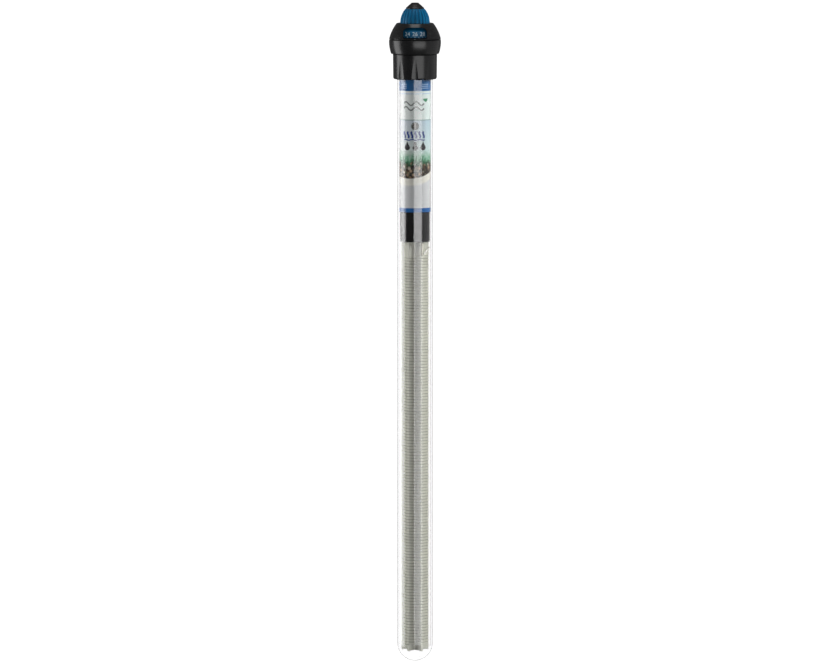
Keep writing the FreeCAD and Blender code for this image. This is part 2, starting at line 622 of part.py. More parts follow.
def lead_passages(z0, z1):
    """Cutters for the winding's two leads: one at the rim, one on the axis."""
    return [cyl(0.6, z0, z1, *START), cyl(0.6, z0, z1)]


def shield_sleeve():
    """Black sleeve between thermostat and element."""
    return ring(SLEEVE_R, SLEEVE_R - SLEEVE_WALL, SLEEVE_FOOT, SLEEVE_TOP)


def heat_shield():
    """Mica disc that keeps the element's heat from the thermostat."""
    disc = cyl(SLEEVE_R - SLEEVE_WALL - 0.05, BOARD_FOOT - 1.25, BOARD_FOOT - 0.05)
    return disc.cut(lead_passages(-120, -100))


def core_cap():
    """Ceramic cap that holds the core's top in the sleeve."""
    cap = cyl(SLEEVE_R - SLEEVE_WALL - 0.05, CORE_TOP + 0.05, CORE_TOP + 2.6)
    return cap.cut(lead_passages(-120, -100))


def rib_tips(r, valley_r=None):
    """Outline of the core: each rib's flat tip, then the valley. Without valleys, its hull."""
    points = []
    for k in range(CORE_RIBS):
        rib = LEAD_SPOT_DEG + 360.0 / CORE_RIBS * k
        points += [polar(r, rib - RIB_HALF_DEG, 0)[:2], polar(r, rib + RIB_HALF_DEG, 0)[:2]]
        if valley_r:
            points.append(polar(valley_r, rib + 180.0 / CORE_RIBS, 0)[:2])
    return points


def ceramic_core():
    """Six-ribbed ceramic rod with a bore for the return lead. Its foot is hollowed to a cone."""
    star = prism(rib_tips(CORE_R, VALLEY_R), CORE_FOOT, CORE_TOP)
    slope = CORE_RECESS / (CORE_R - VALLEY_R)
    reach = CORE_R - 0.9
    cone = Part.makeCone(reach, 0, reach * slope, V(0, 0, CORE_FOOT), V(0, 0, 1))
    bore = cyl(CORE_BORE_R, CORE_FOOT - 1, CORE_TOP + 1)
    groove = cyl(WIRE_LEAD_R + 0.05, WIND_TOP - 1.0, CORE_TOP + 1, *START)
    return star.cut([cone, bore, groove])


def heating_wire():
    """The winding from rib to rib, as one thin sleeve over the ribs' tips."""
    outer = prism(rib_tips(CORE_R + 0.03 + WIND_T), WIND_FOOT, WIND_TOP)
    return outer.cut(prism(rib_tips(CORE_R + 0.03), WIND_FOOT - 1, WIND_TOP + 1))


def start_lead():
    """Lead from the board's face to the winding's first turn, let into a rib's tip."""
    x, y = START
    return polyline(WIRE_LEAD_R, [
        (x, BOARD_Y - TOUCH, -98.0),
        (x, y + 4.0, -98.0),
        (x, y, -103.0),
        (x, y, WIND_TOP - 0.8),
    ])


def lead_sleeve():
    """White glass-fibre sleeve on the spliced tail beside the first turn."""
    return rod(0.55, polar(10.45, 78.0, -122.3), polar(10.8, 34.0, -126.6))


def return_lead():
    """Lead up the core's bore, from the winding's last turn to the board."""
    return cyl(0.55, CORE_FOOT + 3.0, BOARD_FOOT - 0.1)


# ---- export ----------------------------------------------------------------------------------
MAKERS = (
    glass_tube, union_nut, slip_ring, tube_gasket, head_body, lead_potting, cable_grommet,
    dome_cover, dial_knob, spindle_cap, spindle, seal_ring, seal_keeper, spindle_clip,
    detent_spring, carrier_board, board_rivets, bush_bracket, threaded_bush, adjusting_screw,
    lever_bracket, pivot_pin, set_lever, return_spring, bimetal_strip, strip_rivets,
    moving_contact, fixed_bracket, fixed_contact, snap_magnet, pilot_lamp, lamp_clip,
    lamp_resistor, capacitor, thermal_fuse, terminals, top_spider, supply_leads, label_film,
    shield_sleeve, heat_shield, core_cap, ceramic_core, heating_wire, start_lead, lead_sleeve,
    return_lead,
)

os.makedirs("parts", exist_ok=True)
for maker in MAKERS:
    shape = maker()
    volume = sum(s.Volume for s in shape.Solids)
    sound = all(s.isValid() and s.Volume > 0 for s in shape.Solids)
    verdict = "valid" if sound else "NOT VALID"
    print(f"{maker.__name__}: {len(shape.Solids)} solid(s), {volume:.1f} mm3, {verdict}")
    shape.exportStep(f"parts/{maker.__name__}.step")
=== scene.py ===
"""Submersible aquarium heater: the visible model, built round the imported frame.

Shapes are worked out in millimetres, in the frame's own axes (+Z up the tube, -Y to the front),
and scaled to metres when they become meshes.
"""

import math

import bmesh
import bpy
from mathutils import Matrix, Vector


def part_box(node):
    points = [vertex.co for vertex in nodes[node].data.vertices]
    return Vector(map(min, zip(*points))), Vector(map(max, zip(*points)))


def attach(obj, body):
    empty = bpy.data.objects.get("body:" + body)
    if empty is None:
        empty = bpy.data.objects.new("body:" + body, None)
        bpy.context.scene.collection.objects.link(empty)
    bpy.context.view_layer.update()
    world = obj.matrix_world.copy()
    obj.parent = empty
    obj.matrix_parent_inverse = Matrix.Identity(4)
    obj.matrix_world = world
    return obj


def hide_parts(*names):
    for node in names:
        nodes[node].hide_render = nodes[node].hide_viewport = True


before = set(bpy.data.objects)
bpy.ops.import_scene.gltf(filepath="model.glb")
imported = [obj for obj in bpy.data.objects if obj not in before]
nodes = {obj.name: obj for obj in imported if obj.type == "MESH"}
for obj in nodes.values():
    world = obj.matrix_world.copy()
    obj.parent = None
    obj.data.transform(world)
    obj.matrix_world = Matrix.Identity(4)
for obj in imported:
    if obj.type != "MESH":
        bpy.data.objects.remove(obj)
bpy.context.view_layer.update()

MM = 0.001
TAU = 2 * math.pi


def span(node):
    """Radius, foot and top of a CAD node that is round about Z, in millimetres."""
    low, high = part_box(node)
    return high[0] / MM, low[2] / MM, high[2] / MM


# ---- sizes, from the frame -------------------------------------------------------------------
NECK_R, GLASS_FOOT, GLASS_TOP = span("glass_tube")
GLASS_R, GLASS_WALL = 13.0, 1.5
NUT_TOP, NUT_TOP_R, NUT_FOOT_R = span("union_nut")[2], 16.0, 15.8
HEAD_R, HEAD_FOOT, HEAD_TOP = span("head_body")[0], 18.3, 28.5
GLAND_Z, GLAND_R, GLAND_END = 23.5, 4.7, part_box("head_body")[1][1] / MM
DOME_FOOT, DOME_TOP, DOME_R = 28.9, span("dome_cover")[2], 18.75
DIAL_R, DIAL_FOOT, KNOB_TOP = span("dial_knob")
DIAL_TOP, KNOB_R, KNOB_BEND, KNOB_TOP_R = 35.3, 10.75, 40.8, 7.0
CAP_FOOT_R, CAP_FOOT, CAP_TOP = span("spindle_cap")[0], 51.0, span("spindle_cap")[2]
FILM_R, FILM_FOOT, FILM_TOP = span("label_film")
LAMP_Z, LAMP_HOLE_R = span("pilot_lamp")[2] - 5.6, 2.1
SLEEVE_R, SLEEVE_FOOT, SLEEVE_TOP = span("shield_sleeve")
CORE_FOOT, CORE_TOP = span("ceramic_core")[1:]
CORE_R, VALLEY_R, CORE_RIBS, RIB_HALF_DEG, FIRST_RIB_DEG = 10.0, 5.2, 6, 4.6, 30.0
WIND_FOOT, WIND_TOP = span("heating_wire")[1:]
FIRST_TURN_Z = WIND_TOP - 0.3
WIND_PITCH, WIRE_R, NOTCH_DEPTH, NOTCH_HALF = 2.15, 0.15, 0.5, 0.55  # thin wire, drawn as it shows


# ---- small helpers ---------------------------------------------------------------------------
def linear(hex_colour, alpha=1.0):
    """An sRGB hex colour as linear RGBA."""
    channels = [int(hex_colour[i : i + 2], 16) / 255 for i in (1, 3, 5)]
    turned_linear = [c / 12.92 if c <= 0.04045 else ((c + 0.055) / 1.055) ** 2.4 for c in channels]
    return (*turned_linear, alpha)


def add(tree, kind, settings=None, inputs=()):
    """Adds a node. Settings are a dict, or just the node's operation. Inputs are a dict, or values in
    socket order: each is a value, a socket, or a node whose first output is used."""
    node = tree.nodes.new(kind)
    if isinstance(settings, str):
        settings = {"operation": settings}
    for key, value in (settings or {}).items():
        setattr(node, key, value)
    for key, value in inputs.items() if isinstance(inputs, dict) else enumerate(inputs):
        if isinstance(value, bpy.types.Node):
            value = value.outputs[0]
        if isinstance(value, bpy.types.NodeSocket):
            tree.links.new(value, node.inputs[key])
        else:
            node.inputs[key].default_value = value
    return node


def arc(start, middle, end, steps=10):
    """Points of the arc through three (r, z) points, without its start."""
    (ax, ay), (bx, by), (cx, cy) = start, middle, end
    d = 2 * (ax * (by - cy) + bx * (cy - ay) + cx * (ay - by))
    a2, b2, c2 = ax * ax + ay * ay, bx * bx + by * by, cx * cx + cy * cy
    ux = (a2 * (by - cy) + b2 * (cy - ay) + c2 * (ay - by)) / d
    uy = (a2 * (cx - bx) + b2 * (ax - cx) + c2 * (bx - ax)) / d
    radius = math.hypot(ax - ux, ay - uy)
    a0 = math.atan2(ay - uy, ax - ux)
    sweep = (math.atan2(cy - uy, cx - ux) - a0 + math.pi) % TAU - math.pi
    return [
        (ux + radius * math.cos(a0 + sweep * k / steps), uy + radius * math.sin(a0 + sweep * k / steps))
        for k in range(1, steps + 1)
    ]


def rounded(corners, steps=5):
    """A closed outline from (r, z, fillet) corners, each fillet a short curve."""
    outline = []
    count = len(corners)
    for k, (r, z, *fillet) in enumerate(corners):
        size = fillet[0] if fillet else 0
        if not size:
            outline.append((r, z))
            continue
        here = Vector((r, z))
        ends = []
        for other in (corners[k - 1], corners[(k + 1) % count]):
            way = Vector(other[:2]) - here
            ends.append(here + way.normalized() * min(size, way.length * 0.48))
        for i in range(steps + 1):
            t = i / steps
            point = ends[0] * (1 - t) ** 2 + here * 2 * t * (1 - t) + ends[1] * t * t
            outline.append((point.x, point.y))
    return outline


def divided(outline, longest):
    """The closed outline with its long edges split into steps no longer than that."""
    points = []
    for (r0, z0), (r1, z1) in zip(outline, [*outline[1:], outline[0]]):
        steps = max(1, math.ceil(math.hypot(r1 - r0, z1 - z0) / longest))
        points += [(r0 + (r1 - r0) * k / steps, z0 + (z1 - z0) * k / steps) for k in range(steps)]
    return points


def placed(name, data):
    """A new object in the scene."""
    obj = bpy.data.objects.new(name, data)
    bpy.context.scene.collection.objects.link(obj)
    return obj


def smoothed(mesh, crease_deg=32.0):
    """The mesh, smooth except at its sharp edges."""
    mesh.shade_smooth()
    mesh.set_sharp_from_angle(angle=math.radians(crease_deg))
    return mesh


def mesh_from(bm, name):
    """A smooth mesh in metres from a bmesh in millimetres."""
    bmesh.ops.remove_doubles(bm, verts=bm.verts, dist=1e-5)
    bmesh.ops.recalc_face_normals(bm, faces=bm.faces)
    mesh = bpy.data.meshes.new(name)
    bm.to_mesh(mesh)
    bm.free()
    mesh.transform(Matrix.Scale(MM, 4))
    return smoothed(mesh)


def turned(outline, segments=144):
    """A bmesh turned about Z from a closed outline of (r, z) points."""
    bm = bmesh.new()
    rows = []
    for r, z in outline:
        if r < 1e-4:
            rows.append([bm.verts.new((0, 0, z))] * segments)
            continue
        rows.append([
            bm.verts.new((r * math.sin(TAU * k / segments), -r * math.cos(TAU * k / segments), z))
            for k in range(segments)
        ])
    for here, there in zip(rows, [*rows[1:], rows[0]]):
        for k in range(segments):
            j = (k + 1) % segments
            corners = list(dict.fromkeys((here[k], here[j], there[j], there[k])))
            if len(corners) > 2:
                bm.faces.new(corners)
    return bm


def piece(name, mesh, material, body, slot_name, *replaced):
    obj = placed(name, mesh)
    if not mesh.materials:
        mesh.materials.append(material)
    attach(obj, body)
    if replaced:
        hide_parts(*replaced)


def evaluated(obj):
    """What the object looks like after its modifiers, as a plain mesh. The object goes."""
    graph = bpy.context.evaluated_depsgraph_get()
    mesh = bpy.data.meshes.new_from_object(obj.evaluated_get(graph))
    obj.modifiers.clear()
    bpy.data.objects.remove(obj)
    return mesh


def combined(mesh, other, operation, bevel=0.0):
    """The mesh joined with another mesh or cut by it, and the new edges rounded."""
    tool = placed("tool", other)
    obj = placed("work", mesh)
    meeting = obj.modifiers.new("meeting", "BOOLEAN")
    meeting.object, meeting.operation, meeting.solver = tool, operation, "EXACT"
    if bevel:
        edge = obj.modifiers.new("edge", "BEVEL")
        edge.width, edge.segments = bevel * MM, 3
        edge.limit_method, edge.angle_limit = "ANGLE", math.radians(50)
    result = evaluated(obj)
    bpy.data.objects.remove(tool)
    return smoothed(result)


# ---- geometry node trees ---------------------------------------------------------------------
def new_tree(name, sizes):
    """A geometry node tree with named size inputs: {name: (socket kind, default)}."""
    tree = bpy.data.node_groups.new(name, "GeometryNodeTree")
    tree.interface.new_socket("Geometry", in_out="INPUT", socket_type="NodeSocketGeometry")
    tree.interface.new_socket("Geometry", in_out="OUTPUT", socket_type="NodeSocketGeometry")
    for label, (kind, value) in sizes.items():
        tree.interface.new_socket(label, in_out="INPUT", socket_type=kind).default_value = value
    tree.interface.new_socket("Material", in_out="INPUT", socket_type="NodeSocketMaterial")
    return tree, add(tree, "NodeGroupInput"), add(tree, "NodeGroupOutput")


def close_tree(tree, source, out, geometry):
    """Ends a tree in Realize Instances and Set Material."""
    real = add(tree, "GeometryNodeRealizeInstances", None, (geometry,))
    painted = add(tree, "GeometryNodeSetMaterial", None,
                  {"Geometry": real, "Material": source.outputs["Material"]})
    tree.links.new(painted.outputs[0], out.inputs[0])
    return tree


def grown(mesh, tree, values, crease_deg=32.0):
    """The plain mesh that the tree makes of this one."""
    obj = placed("work", mesh)
    modifier = obj.modifiers.new("grow", "NODES")
    modifier.node_group = tree
    for item in tree.interface.items_tree:
        if item.in_out == "INPUT" and item.name in values:
            modifier[item.identifier] = values[item.name]
    return smoothed(evaluated(obj), crease_deg)


def flute_tree():
    """Carves evenly spaced round flutes. The point attribute cutter_at holds, for each point, how
    far the round cutter's axis stands from Z."""
    tree, source, out = new_tree("carve_flutes", {
        "Count": ("NodeSocketInt", 9),
        "Cutter Radius": ("NodeSocketFloat", 0.005),
        "Edge": ("NodeSocketFloat", 0.0002),
    })
    geometry, count, cutter_r, edge = source.outputs[:4]
    position = add(tree, "GeometryNodeInputPosition")
    x, y, z = add(tree, "ShaderNodeSeparateXYZ", None, (position,)).outputs
    back = add(tree, "ShaderNodeMath", "MULTIPLY", (y, -1.0))
    turn = add(tree, "ShaderNodeMath", "ARCTAN2", (x, back))
    flat = add(tree, "ShaderNodeCombineXYZ", None, (x, y))
    radius = add(tree, "ShaderNodeVectorMath", "LENGTH", (flat,)).outputs["Value"]
    # The turn away from the nearest flute's middle.
    half = add(tree, "ShaderNodeMath", "DIVIDE", (math.pi, count))
    away = add(tree, "ShaderNodeMath", "PINGPONG", (turn, half))
    # Where a ray from Z enters the cutter's circle.
    axis = add(tree, "GeometryNodeInputNamedAttribute", None, {"Name": "cutter_at"})
    sine = add(tree, "ShaderNodeMath", "SINE", (away,))
    cosine = add(tree, "ShaderNodeMath", "COSINE", (away,))
    across = add(tree, "ShaderNodeMath", "MULTIPLY", (axis, sine))
    along = add(tree, "ShaderNodeMath", "MULTIPLY", (axis, cosine))
    square = add(tree, "ShaderNodeMath", "MULTIPLY", (cutter_r, cutter_r))
    side = add(tree, "ShaderNodeMath", "MULTIPLY", (across, across))
    left = add(tree, "ShaderNodeMath", "SUBTRACT", (square, side))
    positive = add(tree, "ShaderNodeMath", "MAXIMUM", (left, 0.0))
    root = add(tree, "ShaderNodeMath", "SQRT", (positive,))
    near = add(tree, "ShaderNodeMath", "SUBTRACT", (along, root))
    # A ray that misses the circle is sent a metre out, so that nothing is cut there.
    missed = add(tree, "ShaderNodeMath", "LESS_THAN", (left, 0.0))
    reach = add(tree, "ShaderNodeMath", "ADD", (near, missed))
    carved = add(tree, "ShaderNodeMath", "SMOOTH_MIN", (radius, reach, edge))
    scale = add(tree, "ShaderNodeMath", "DIVIDE", (carved, radius))
    stretch = add(tree, "ShaderNodeCombineXYZ", None, (scale, scale, 1.0))
    target = add(tree, "ShaderNodeVectorMath", "MULTIPLY", (position, stretch))
    shaped = add(tree, "GeometryNodeSetPosition", None, {"Geometry": geometry, "Position": target})
    return close_tree(tree, source, out, shaped)


def notch_tree():
    """Cuts the winding's notches into rib tips. The point attributes tip and rib say how much a
    point belongs to a tip and to which rib."""
    tree, source, out = new_tree("notch_ribs", {
        "Pitch": ("NodeSocketFloat", 0.00215),
        "Ribs": ("NodeSocketInt", 6),
        "Depth": ("NodeSocketFloat", 0.0003),
        "Half Width": ("NodeSocketFloat", 0.0005),
        "Top": ("NodeSocketFloat", 0.0),
        "Foot": ("NodeSocketFloat", 0.0),
    })
    geometry, pitch, rib_count, depth, half_width, top, foot = source.outputs[:7]
    position = add(tree, "GeometryNodeInputPosition")
    x, y, z = add(tree, "ShaderNodeSeparateXYZ", None, (position,)).outputs
    rib = add(tree, "GeometryNodeInputNamedAttribute", None, {"Name": "rib"})
    tip = add(tree, "GeometryNodeInputNamedAttribute", None, {"Name": "tip"})
    # The height away from the nearest turn, which drops steadily from rib to rib.
    share = add(tree, "ShaderNodeMath", "DIVIDE", (rib, rib_count))
    drop = add(tree, "ShaderNodeMath", "MULTIPLY", (share, pitch))
    level = add(tree, "ShaderNodeMath", "SUBTRACT", (z, top))
    phase = add(tree, "ShaderNodeMath", "ADD", (level, drop))
    half = add(tree, "ShaderNodeMath", "MULTIPLY", (pitch, 0.5))
    away = add(tree, "ShaderNodeMath", "PINGPONG", (phase, half))
    notch = add(tree, "ShaderNodeMapRange", {"interpolation_type": "SMOOTHSTEP"},
                (away, 0.0, half_width, depth, 0.0))
    below = add(tree, "ShaderNodeMath", "LESS_THAN", (z, top))
    above = add(tree, "ShaderNodeMath", "GREATER_THAN", (z, foot))
    wound = add(tree, "ShaderNodeMath", "MULTIPLY", (below, above))
    where = add(tree, "ShaderNodeMath", "MULTIPLY", (wound, tip))
    cut = add(tree, "ShaderNodeMath", "MULTIPLY", (notch, where))
    inward = add(tree, "ShaderNodeMath", "MULTIPLY", (cut, -1.0))
    flat = add(tree, "ShaderNodeCombineXYZ", None, (x, y))
    outward = add(tree, "ShaderNodeVectorMath", "NORMALIZE", (flat,))
    move = add(tree, "ShaderNodeVectorMath", "SCALE", {0: outward, "Scale": inward})
    shaped = add(tree, "GeometryNodeSetPosition", None, {"Geometry": geometry, "Offset": move})
    return close_tree(tree, source, out, shaped)


def winding_tree():
    """Wire in straight spans over the rib tips: two points a rib, a steady drop per turn."""
    tree, source, out = new_tree("wind_wire", {
        "Turns": ("NodeSocketInt", 100),
        "Ribs": ("NodeSocketInt", 6),
        "Pitch": ("NodeSocketFloat", 0.00215),
        "Top": ("NodeSocketFloat", 0.0),
        "Rib Radius": ("NodeSocketFloat", 0.01),
        "Rib Half Angle": ("NodeSocketFloat", 0.08),
        "First Rib": ("NodeSocketFloat", 0.5),
        "Wire Radius": ("NodeSocketFloat", 0.0002),
    })
    turns, ribs, pitch, top, rib_r, half_angle, first_rib, wire_r = source.outputs[1:9]
    tips = add(tree, "ShaderNodeMath", "MULTIPLY", (turns, ribs))
    total = add(tree, "ShaderNodeMath", "MULTIPLY", (tips, 2.0))
    line = add(tree, "GeometryNodeMeshLine", None, {"Count": total, "Offset": (0, 0, -0.001)})
    # Even points enter a rib's tip and odd ones leave it.
    index = add(tree, "GeometryNodeInputIndex")
    pair = add(tree, "ShaderNodeMath", "MULTIPLY", (index, 0.5))
    rib = add(tree, "ShaderNodeMath", "FLOOR", (pair,))
    second = add(tree, "ShaderNodeMath", "SUBTRACT", (pair, rib))
    side = add(tree, "ShaderNodeMath", "MULTIPLY_ADD", (second, 4.0, -1.0))
    step = add(tree, "ShaderNodeMath", "DIVIDE", (TAU, ribs))
    rib_turn = add(tree, "ShaderNodeMath", "MULTIPLY_ADD", (rib, step, first_rib))
    turn = add(tree, "ShaderNodeMath", "MULTIPLY_ADD", (side, half_angle, rib_turn))
    aim = add(tree, "ShaderNodeVectorRotate", {"rotation_type": "Z_AXIS"},
              {"Vector": (0, -1, 0), "Angle": turn})
    spoke = add(tree, "ShaderNodeVectorMath", "SCALE", {0: aim, "Scale": rib_r})
    turns_down = add(tree, "ShaderNodeMath", "DIVIDE", (rib, ribs))
    down = add(tree, "ShaderNodeMath", "MULTIPLY", (turns_down, pitch))
    level = add(tree, "ShaderNodeMath", "SUBTRACT", (top, down))
    height = add(tree, "ShaderNodeCombineXYZ", None, {2: level})
    spot = add(tree, "ShaderNodeVectorMath", "ADD", (spoke, height))
    wound = add(tree, "GeometryNodeSetPosition", None, {"Geometry": line, "Position": spot})
    curve = add(tree, "GeometryNodeMeshToCurve", None, (wound,))
    ring = add(tree, "GeometryNodeCurvePrimitiveCircle", None, {"Resolution": 6, "Radius": wire_r})
    wire = add(tree, "GeometryNodeCurveToMesh", None,
               {"Curve": curve, "Profile Curve": ring, "Fill Caps": True})
    return close_tree(tree, source, out, wire)


# ---- materials -------------------------------------------------------------------------------
def new_material(name):
    """A material with its tree, its Principled shader, its output and a coordinate in millimetres."""
    material = bpy.data.materials.new(name)
    material.use_nodes = True
    tree = material.node_tree
    tree.nodes.clear()
    shader = add(tree, "ShaderNodeBsdfPrincipled")
    out = add(tree, "ShaderNodeOutputMaterial", None, (shader,))
    coordinate = add(tree, "ShaderNodeTexCoord").outputs["Object"]
    place = add(tree, "ShaderNodeVectorMath", "SCALE", {0: coordinate, "Scale": 1 / MM})
    return material, tree, shader, out, place


def finish(name, colours, grain_mm, roughness, bump_mm, metallic=0.0, level=0.5):
    """Colour that drifts between two hexes, uneven roughness and a fine bump, all from noise whose
    grain is that wide."""
    material, tree, shader, out, place = new_material(name)
    drift = add(tree, "ShaderNodeTexNoise", None, {"Vector": place, "Scale": 0.12 / grain_mm, "Detail": 4.0})
    colour = add(tree, "ShaderNodeMix", {"data_type": "RGBA"},
                 {0: drift, 6: linear(colours[0]), 7: linear(colours[1])})
    grain = add(tree, "ShaderNodeTexNoise", None, {"Vector": place, "Scale": 1 / grain_mm, "Detail": 3.0})
    rough = add(tree, "ShaderNodeMapRange", None, (grain, 0.3, 0.7, *roughness))
    bump = add(tree, "ShaderNodeBump", None,
               {"Height": grain, "Strength": 0.6, "Distance": bump_mm * MM})
    tree.links.new(colour.outputs[2], shader.inputs["Base Color"])
    tree.links.new(rough.outputs[0], shader.inputs["Roughness"])
    tree.links.new(bump.outputs[0], shader.inputs["Normal"])
    shader.inputs["Metallic"].default_value = metallic
    shader.inputs["Specular IOR Level"].default_value = level
    return material


def borosilicate():
    """Drawn borosilicate tube: clear, hard reflections. Lamps' rays pass straight through it."""
    material, tree, shader, out, place = new_material("borosilicate_glass")
    shader.inputs["Base Color"].default_value = linear("#fdfdfd")
    shader.inputs["Roughness"].default_value = 0.0
    shader.inputs["IOR"].default_value = 1.47
    shader.inputs["Transmission Weight"].default_value = 1.0
    waves = add(tree, "ShaderNodeTexNoise", None, {"Vector": place, "Scale": 0.05, "Detail": 1.0})
    bump = add(tree, "ShaderNodeBump", None, {"Height": waves, "Strength": 0.08, "Distance": 0.2 * MM})
    tree.links.new(bump.outputs[0], shader.inputs["Normal"])
    clear = add(tree, "ShaderNodeBsdfTransparent")
    lamp_ray = add(tree, "ShaderNodeLightPath").outputs["Is Shadow Ray"]
    mixed = add(tree, "ShaderNodeMixShader", None, (lamp_ray, shader, clear))
    tree.links.new(mixed.outputs[0], out.inputs["Surface"])
    return material


def label_print():
    """Printed polypropylene film: bands, a water panel over stones and sand, and a silver field."""
    material, tree, shader, out, place = new_material("printed_film")
    x, y, z = add(tree, "ShaderNodeSeparateXYZ", None, (place,)).outputs
    back = add(tree, "ShaderNodeMath", "MULTIPLY", (y, -1.0))
    turn = add(tree, "ShaderNodeMath", "ARCTAN2", (x, back))
    u = add(tree, "ShaderNodeMath", "MULTIPLY", (turn, FILM_R))
    flat = add(tree, "ShaderNodeCombineXYZ", None, (u, z))
    blotch = add(tree, "ShaderNodeTexNoise", None, {"Vector": flat, "Scale": 0.35, "Detail": 5.0})
    across = add(tree, "ShaderNodeMapRange", None, {"Value": u, "From Min": -11.0, "From Max": 13.0})
    rise = add(tree, "ShaderNodeMapRange", None, {"Value": z, "From Min": -58.0, "From Max": -29.2})
    # The sand's edge sags in the middle and rises to the right. Plants end in a ragged line.
    squared = add(tree, "ShaderNodeMath", "MULTIPLY", (u, u))
    sloped = add(tree, "ShaderNodeMath", "MULTIPLY_ADD", (u, -0.14, z))
    over_sand = add(tree, "ShaderNodeMath", "MULTIPLY_ADD", (squared, -0.017, sloped))
    ragged = add(tree, "ShaderNodeMath", "MULTIPLY_ADD", (blotch, 9.0, z))

    prints = {
        "foot": (blotch, "#155a9c", "#1a62a4"),
        "silver": (blotch, "#d0d2d3", "#d9dbdc"),
        "sand": (blotch, "#e4e2d6", "#f3f2ea"),
        "shade": (blotch, "#1d3a29", "#2f5f40"),
        "leaves": (blotch, "#3f8a67", "#8cc3a2"),
        "shallow": (across, "#e9efe8", "#d3e6e2"),
        "deep": (across, "#d3d6df", "#b4d0dc"),
        "border": (blotch, "#6f8f8b", "#7a9995"),
        "paper": (across, "#eef1ef", "#e0efeb"),
        "line": (blotch, "#a9c4e2", "#b1cae5"),
        "band": (blotch, "#0c4a83", "#1969a3"),
    }
    colours = {}
    for name, (share, low, high) in prints.items():
        blend = add(tree, "ShaderNodeMix", {"data_type": "RGBA"},
                    {0: share, 6: linear(low), 7: linear(high)})
        colours[name] = blend.outputs[2]

    cells = add(tree, "ShaderNodeTexVoronoi", {"feature": "F1"}, {"Vector": flat, "Scale": 0.5})
    pick = add(tree, "ShaderNodeSeparateColor", None, {0: cells.outputs["Color"]})
    pebbles = add(tree, "ShaderNodeValToRGB", None, {"Fac": pick})
    shades = ("#1c1510", "#5c4431", "#b89e82", "#3c4a2f", "#d9cdbb")
    ramp = pebbles.color_ramp
    for k, shade in enumerate(shades):
        spot = ramp.elements[k] if k < 2 else ramp.elements.new(k / (len(shades) - 1))
        spot.position = k / (len(shades) - 1)
        spot.color = linear(shade)
    crack = add(tree, "ShaderNodeMapRange", None,
                {"Value": cells.outputs["Distance"], "From Min": 0.25, "From Max": 0.75})
    stones = add(tree, "ShaderNodeMix", {"data_type": "RGBA"}, {0: crack, 6: pebbles, 7: linear("#171510")})
    water = add(tree, "ShaderNodeMix", {"data_type": "RGBA"},
                {0: rise, 6: colours["shallow"], 7: colours["deep"]})
    colours["stones"], colours["water"] = stones.outputs[2], water.outputs[2]

    # From the foot up: what is measured, the height where the print begins, how softly.
    layers = (
        (z, FILM_FOOT + 3.0, 0.05, "silver"),
        (over_sand, -76.6, 0.9, "sand"),
        (over_sand, -71.4, 0.2, "stones"),
        (ragged, -55.8, 1.2, "shade"),
        (ragged, -54.2, 1.6, "leaves"),
        (ragged, -49.6, 4.0, "water"),
        (z, -29.4, 0.15, "border"),
        (z, -28.9, 0.15, "paper"),
        (z, -10.4, 0.15, "line"),
        (z, -9.9, 0.15, "paper"),
        (z, -8.2, 0.15, "band"),
    )
    colour = colours["foot"]
    for measure, height, soft, name in layers:
        above = add(tree, "ShaderNodeMapRange", None,
                    {"Value": measure, "From Min": height - soft, "From Max": height + soft})
        layer = add(tree, "ShaderNodeMix", {"data_type": "RGBA"}, {0: above, 6: colour, 7: colours[name]})
        colour = layer.outputs[2]

    tree.links.new(colour, shader.inputs["Base Color"])
    shader.inputs["Specular IOR Level"].default_value = 0.25
    grain = add(tree, "ShaderNodeTexNoise", None, {"Vector": place, "Scale": 3.0, "Detail": 2.0})
    rough = add(tree, "ShaderNodeMapRange", None, {"Value": grain, "To Min": 0.3, "To Max": 0.42})
    tree.links.new(rough.outputs[0], shader.inputs["Roughness"])
    return material


# Satin ABS from a spark-eroded mould: near black, soft highlights, a grain of 0.25 mm.
satin_black = finish("satin_black_abs", ("#131314", "#19191a"), 0.25, (0.2, 0.3), 0.008)
# Through-coloured ABS of the setting knob: petrol blue, duller than the head.
petrol_blue = finish("petrol_blue_abs", ("#005a82", "#004b70"), 0.3, (0.38, 0.48), 0.01, level=0.3)
# Moulded EPDM rubber: dull and dark, with a powdery bloom.
epdm = finish("epdm_rubber", ("#161616", "#232322"), 0.5, (0.6, 0.8), 0.02)
# Extruded and fired steatite, unglazed: warm light grey, fine-pored and dull.
steatite = finish("unglazed_steatite", ("#f0f0e5", "#e3e4d7"), 0.35, (0.55, 0.75), 0.02)
# Heat-proof enamelled sleeve: deep black with hard reflections.
black_sleeve = finish("black_enamel_sleeve", ("#0a0a0b", "#101011"), 2.0, (0.06, 0.11), 0.002)
# FeCrAl resistance wire after its first firing: a dull olive-grey oxide on metal.
fecral = finish("oxidised_fecral", ("#97988a", "#85867a"), 0.4, (0.5, 0.65), 0.01, metallic=0.3)
# Pressed steel, zinc plated: a cool grey metal with blurred reflections.
zinc_steel = finish("zinc_plated_steel", ("#b4b6ba", "#9da0a6"), 0.4, (0.25, 0.4), 0.006, metallic=1.0)
# Brass, turned or stamped, unplated: warm yellow, a little brighter than the steel.
turned_brass = finish("turned_brass", ("#d8b25f", "#c59b48"), 0.3, (0.2, 0.35), 0.006, metallic=1.0)
# Headed contact rivets of fine silver: the whitest metal here, nearly polished.
silver = finish("contact_silver", ("#e6e4df", "#cfcdc8"), 0.3, (0.15, 0.3), 0.005, metallic=1.0)
# Rolled thermostat bimetal: brownish grey, with a rolling mill's satin.
bimetal = finish("rolled_bimetal", ("#a89c88", "#8f867a"), 0.5, (0.3, 0.5), 0.008, metallic=1.0)
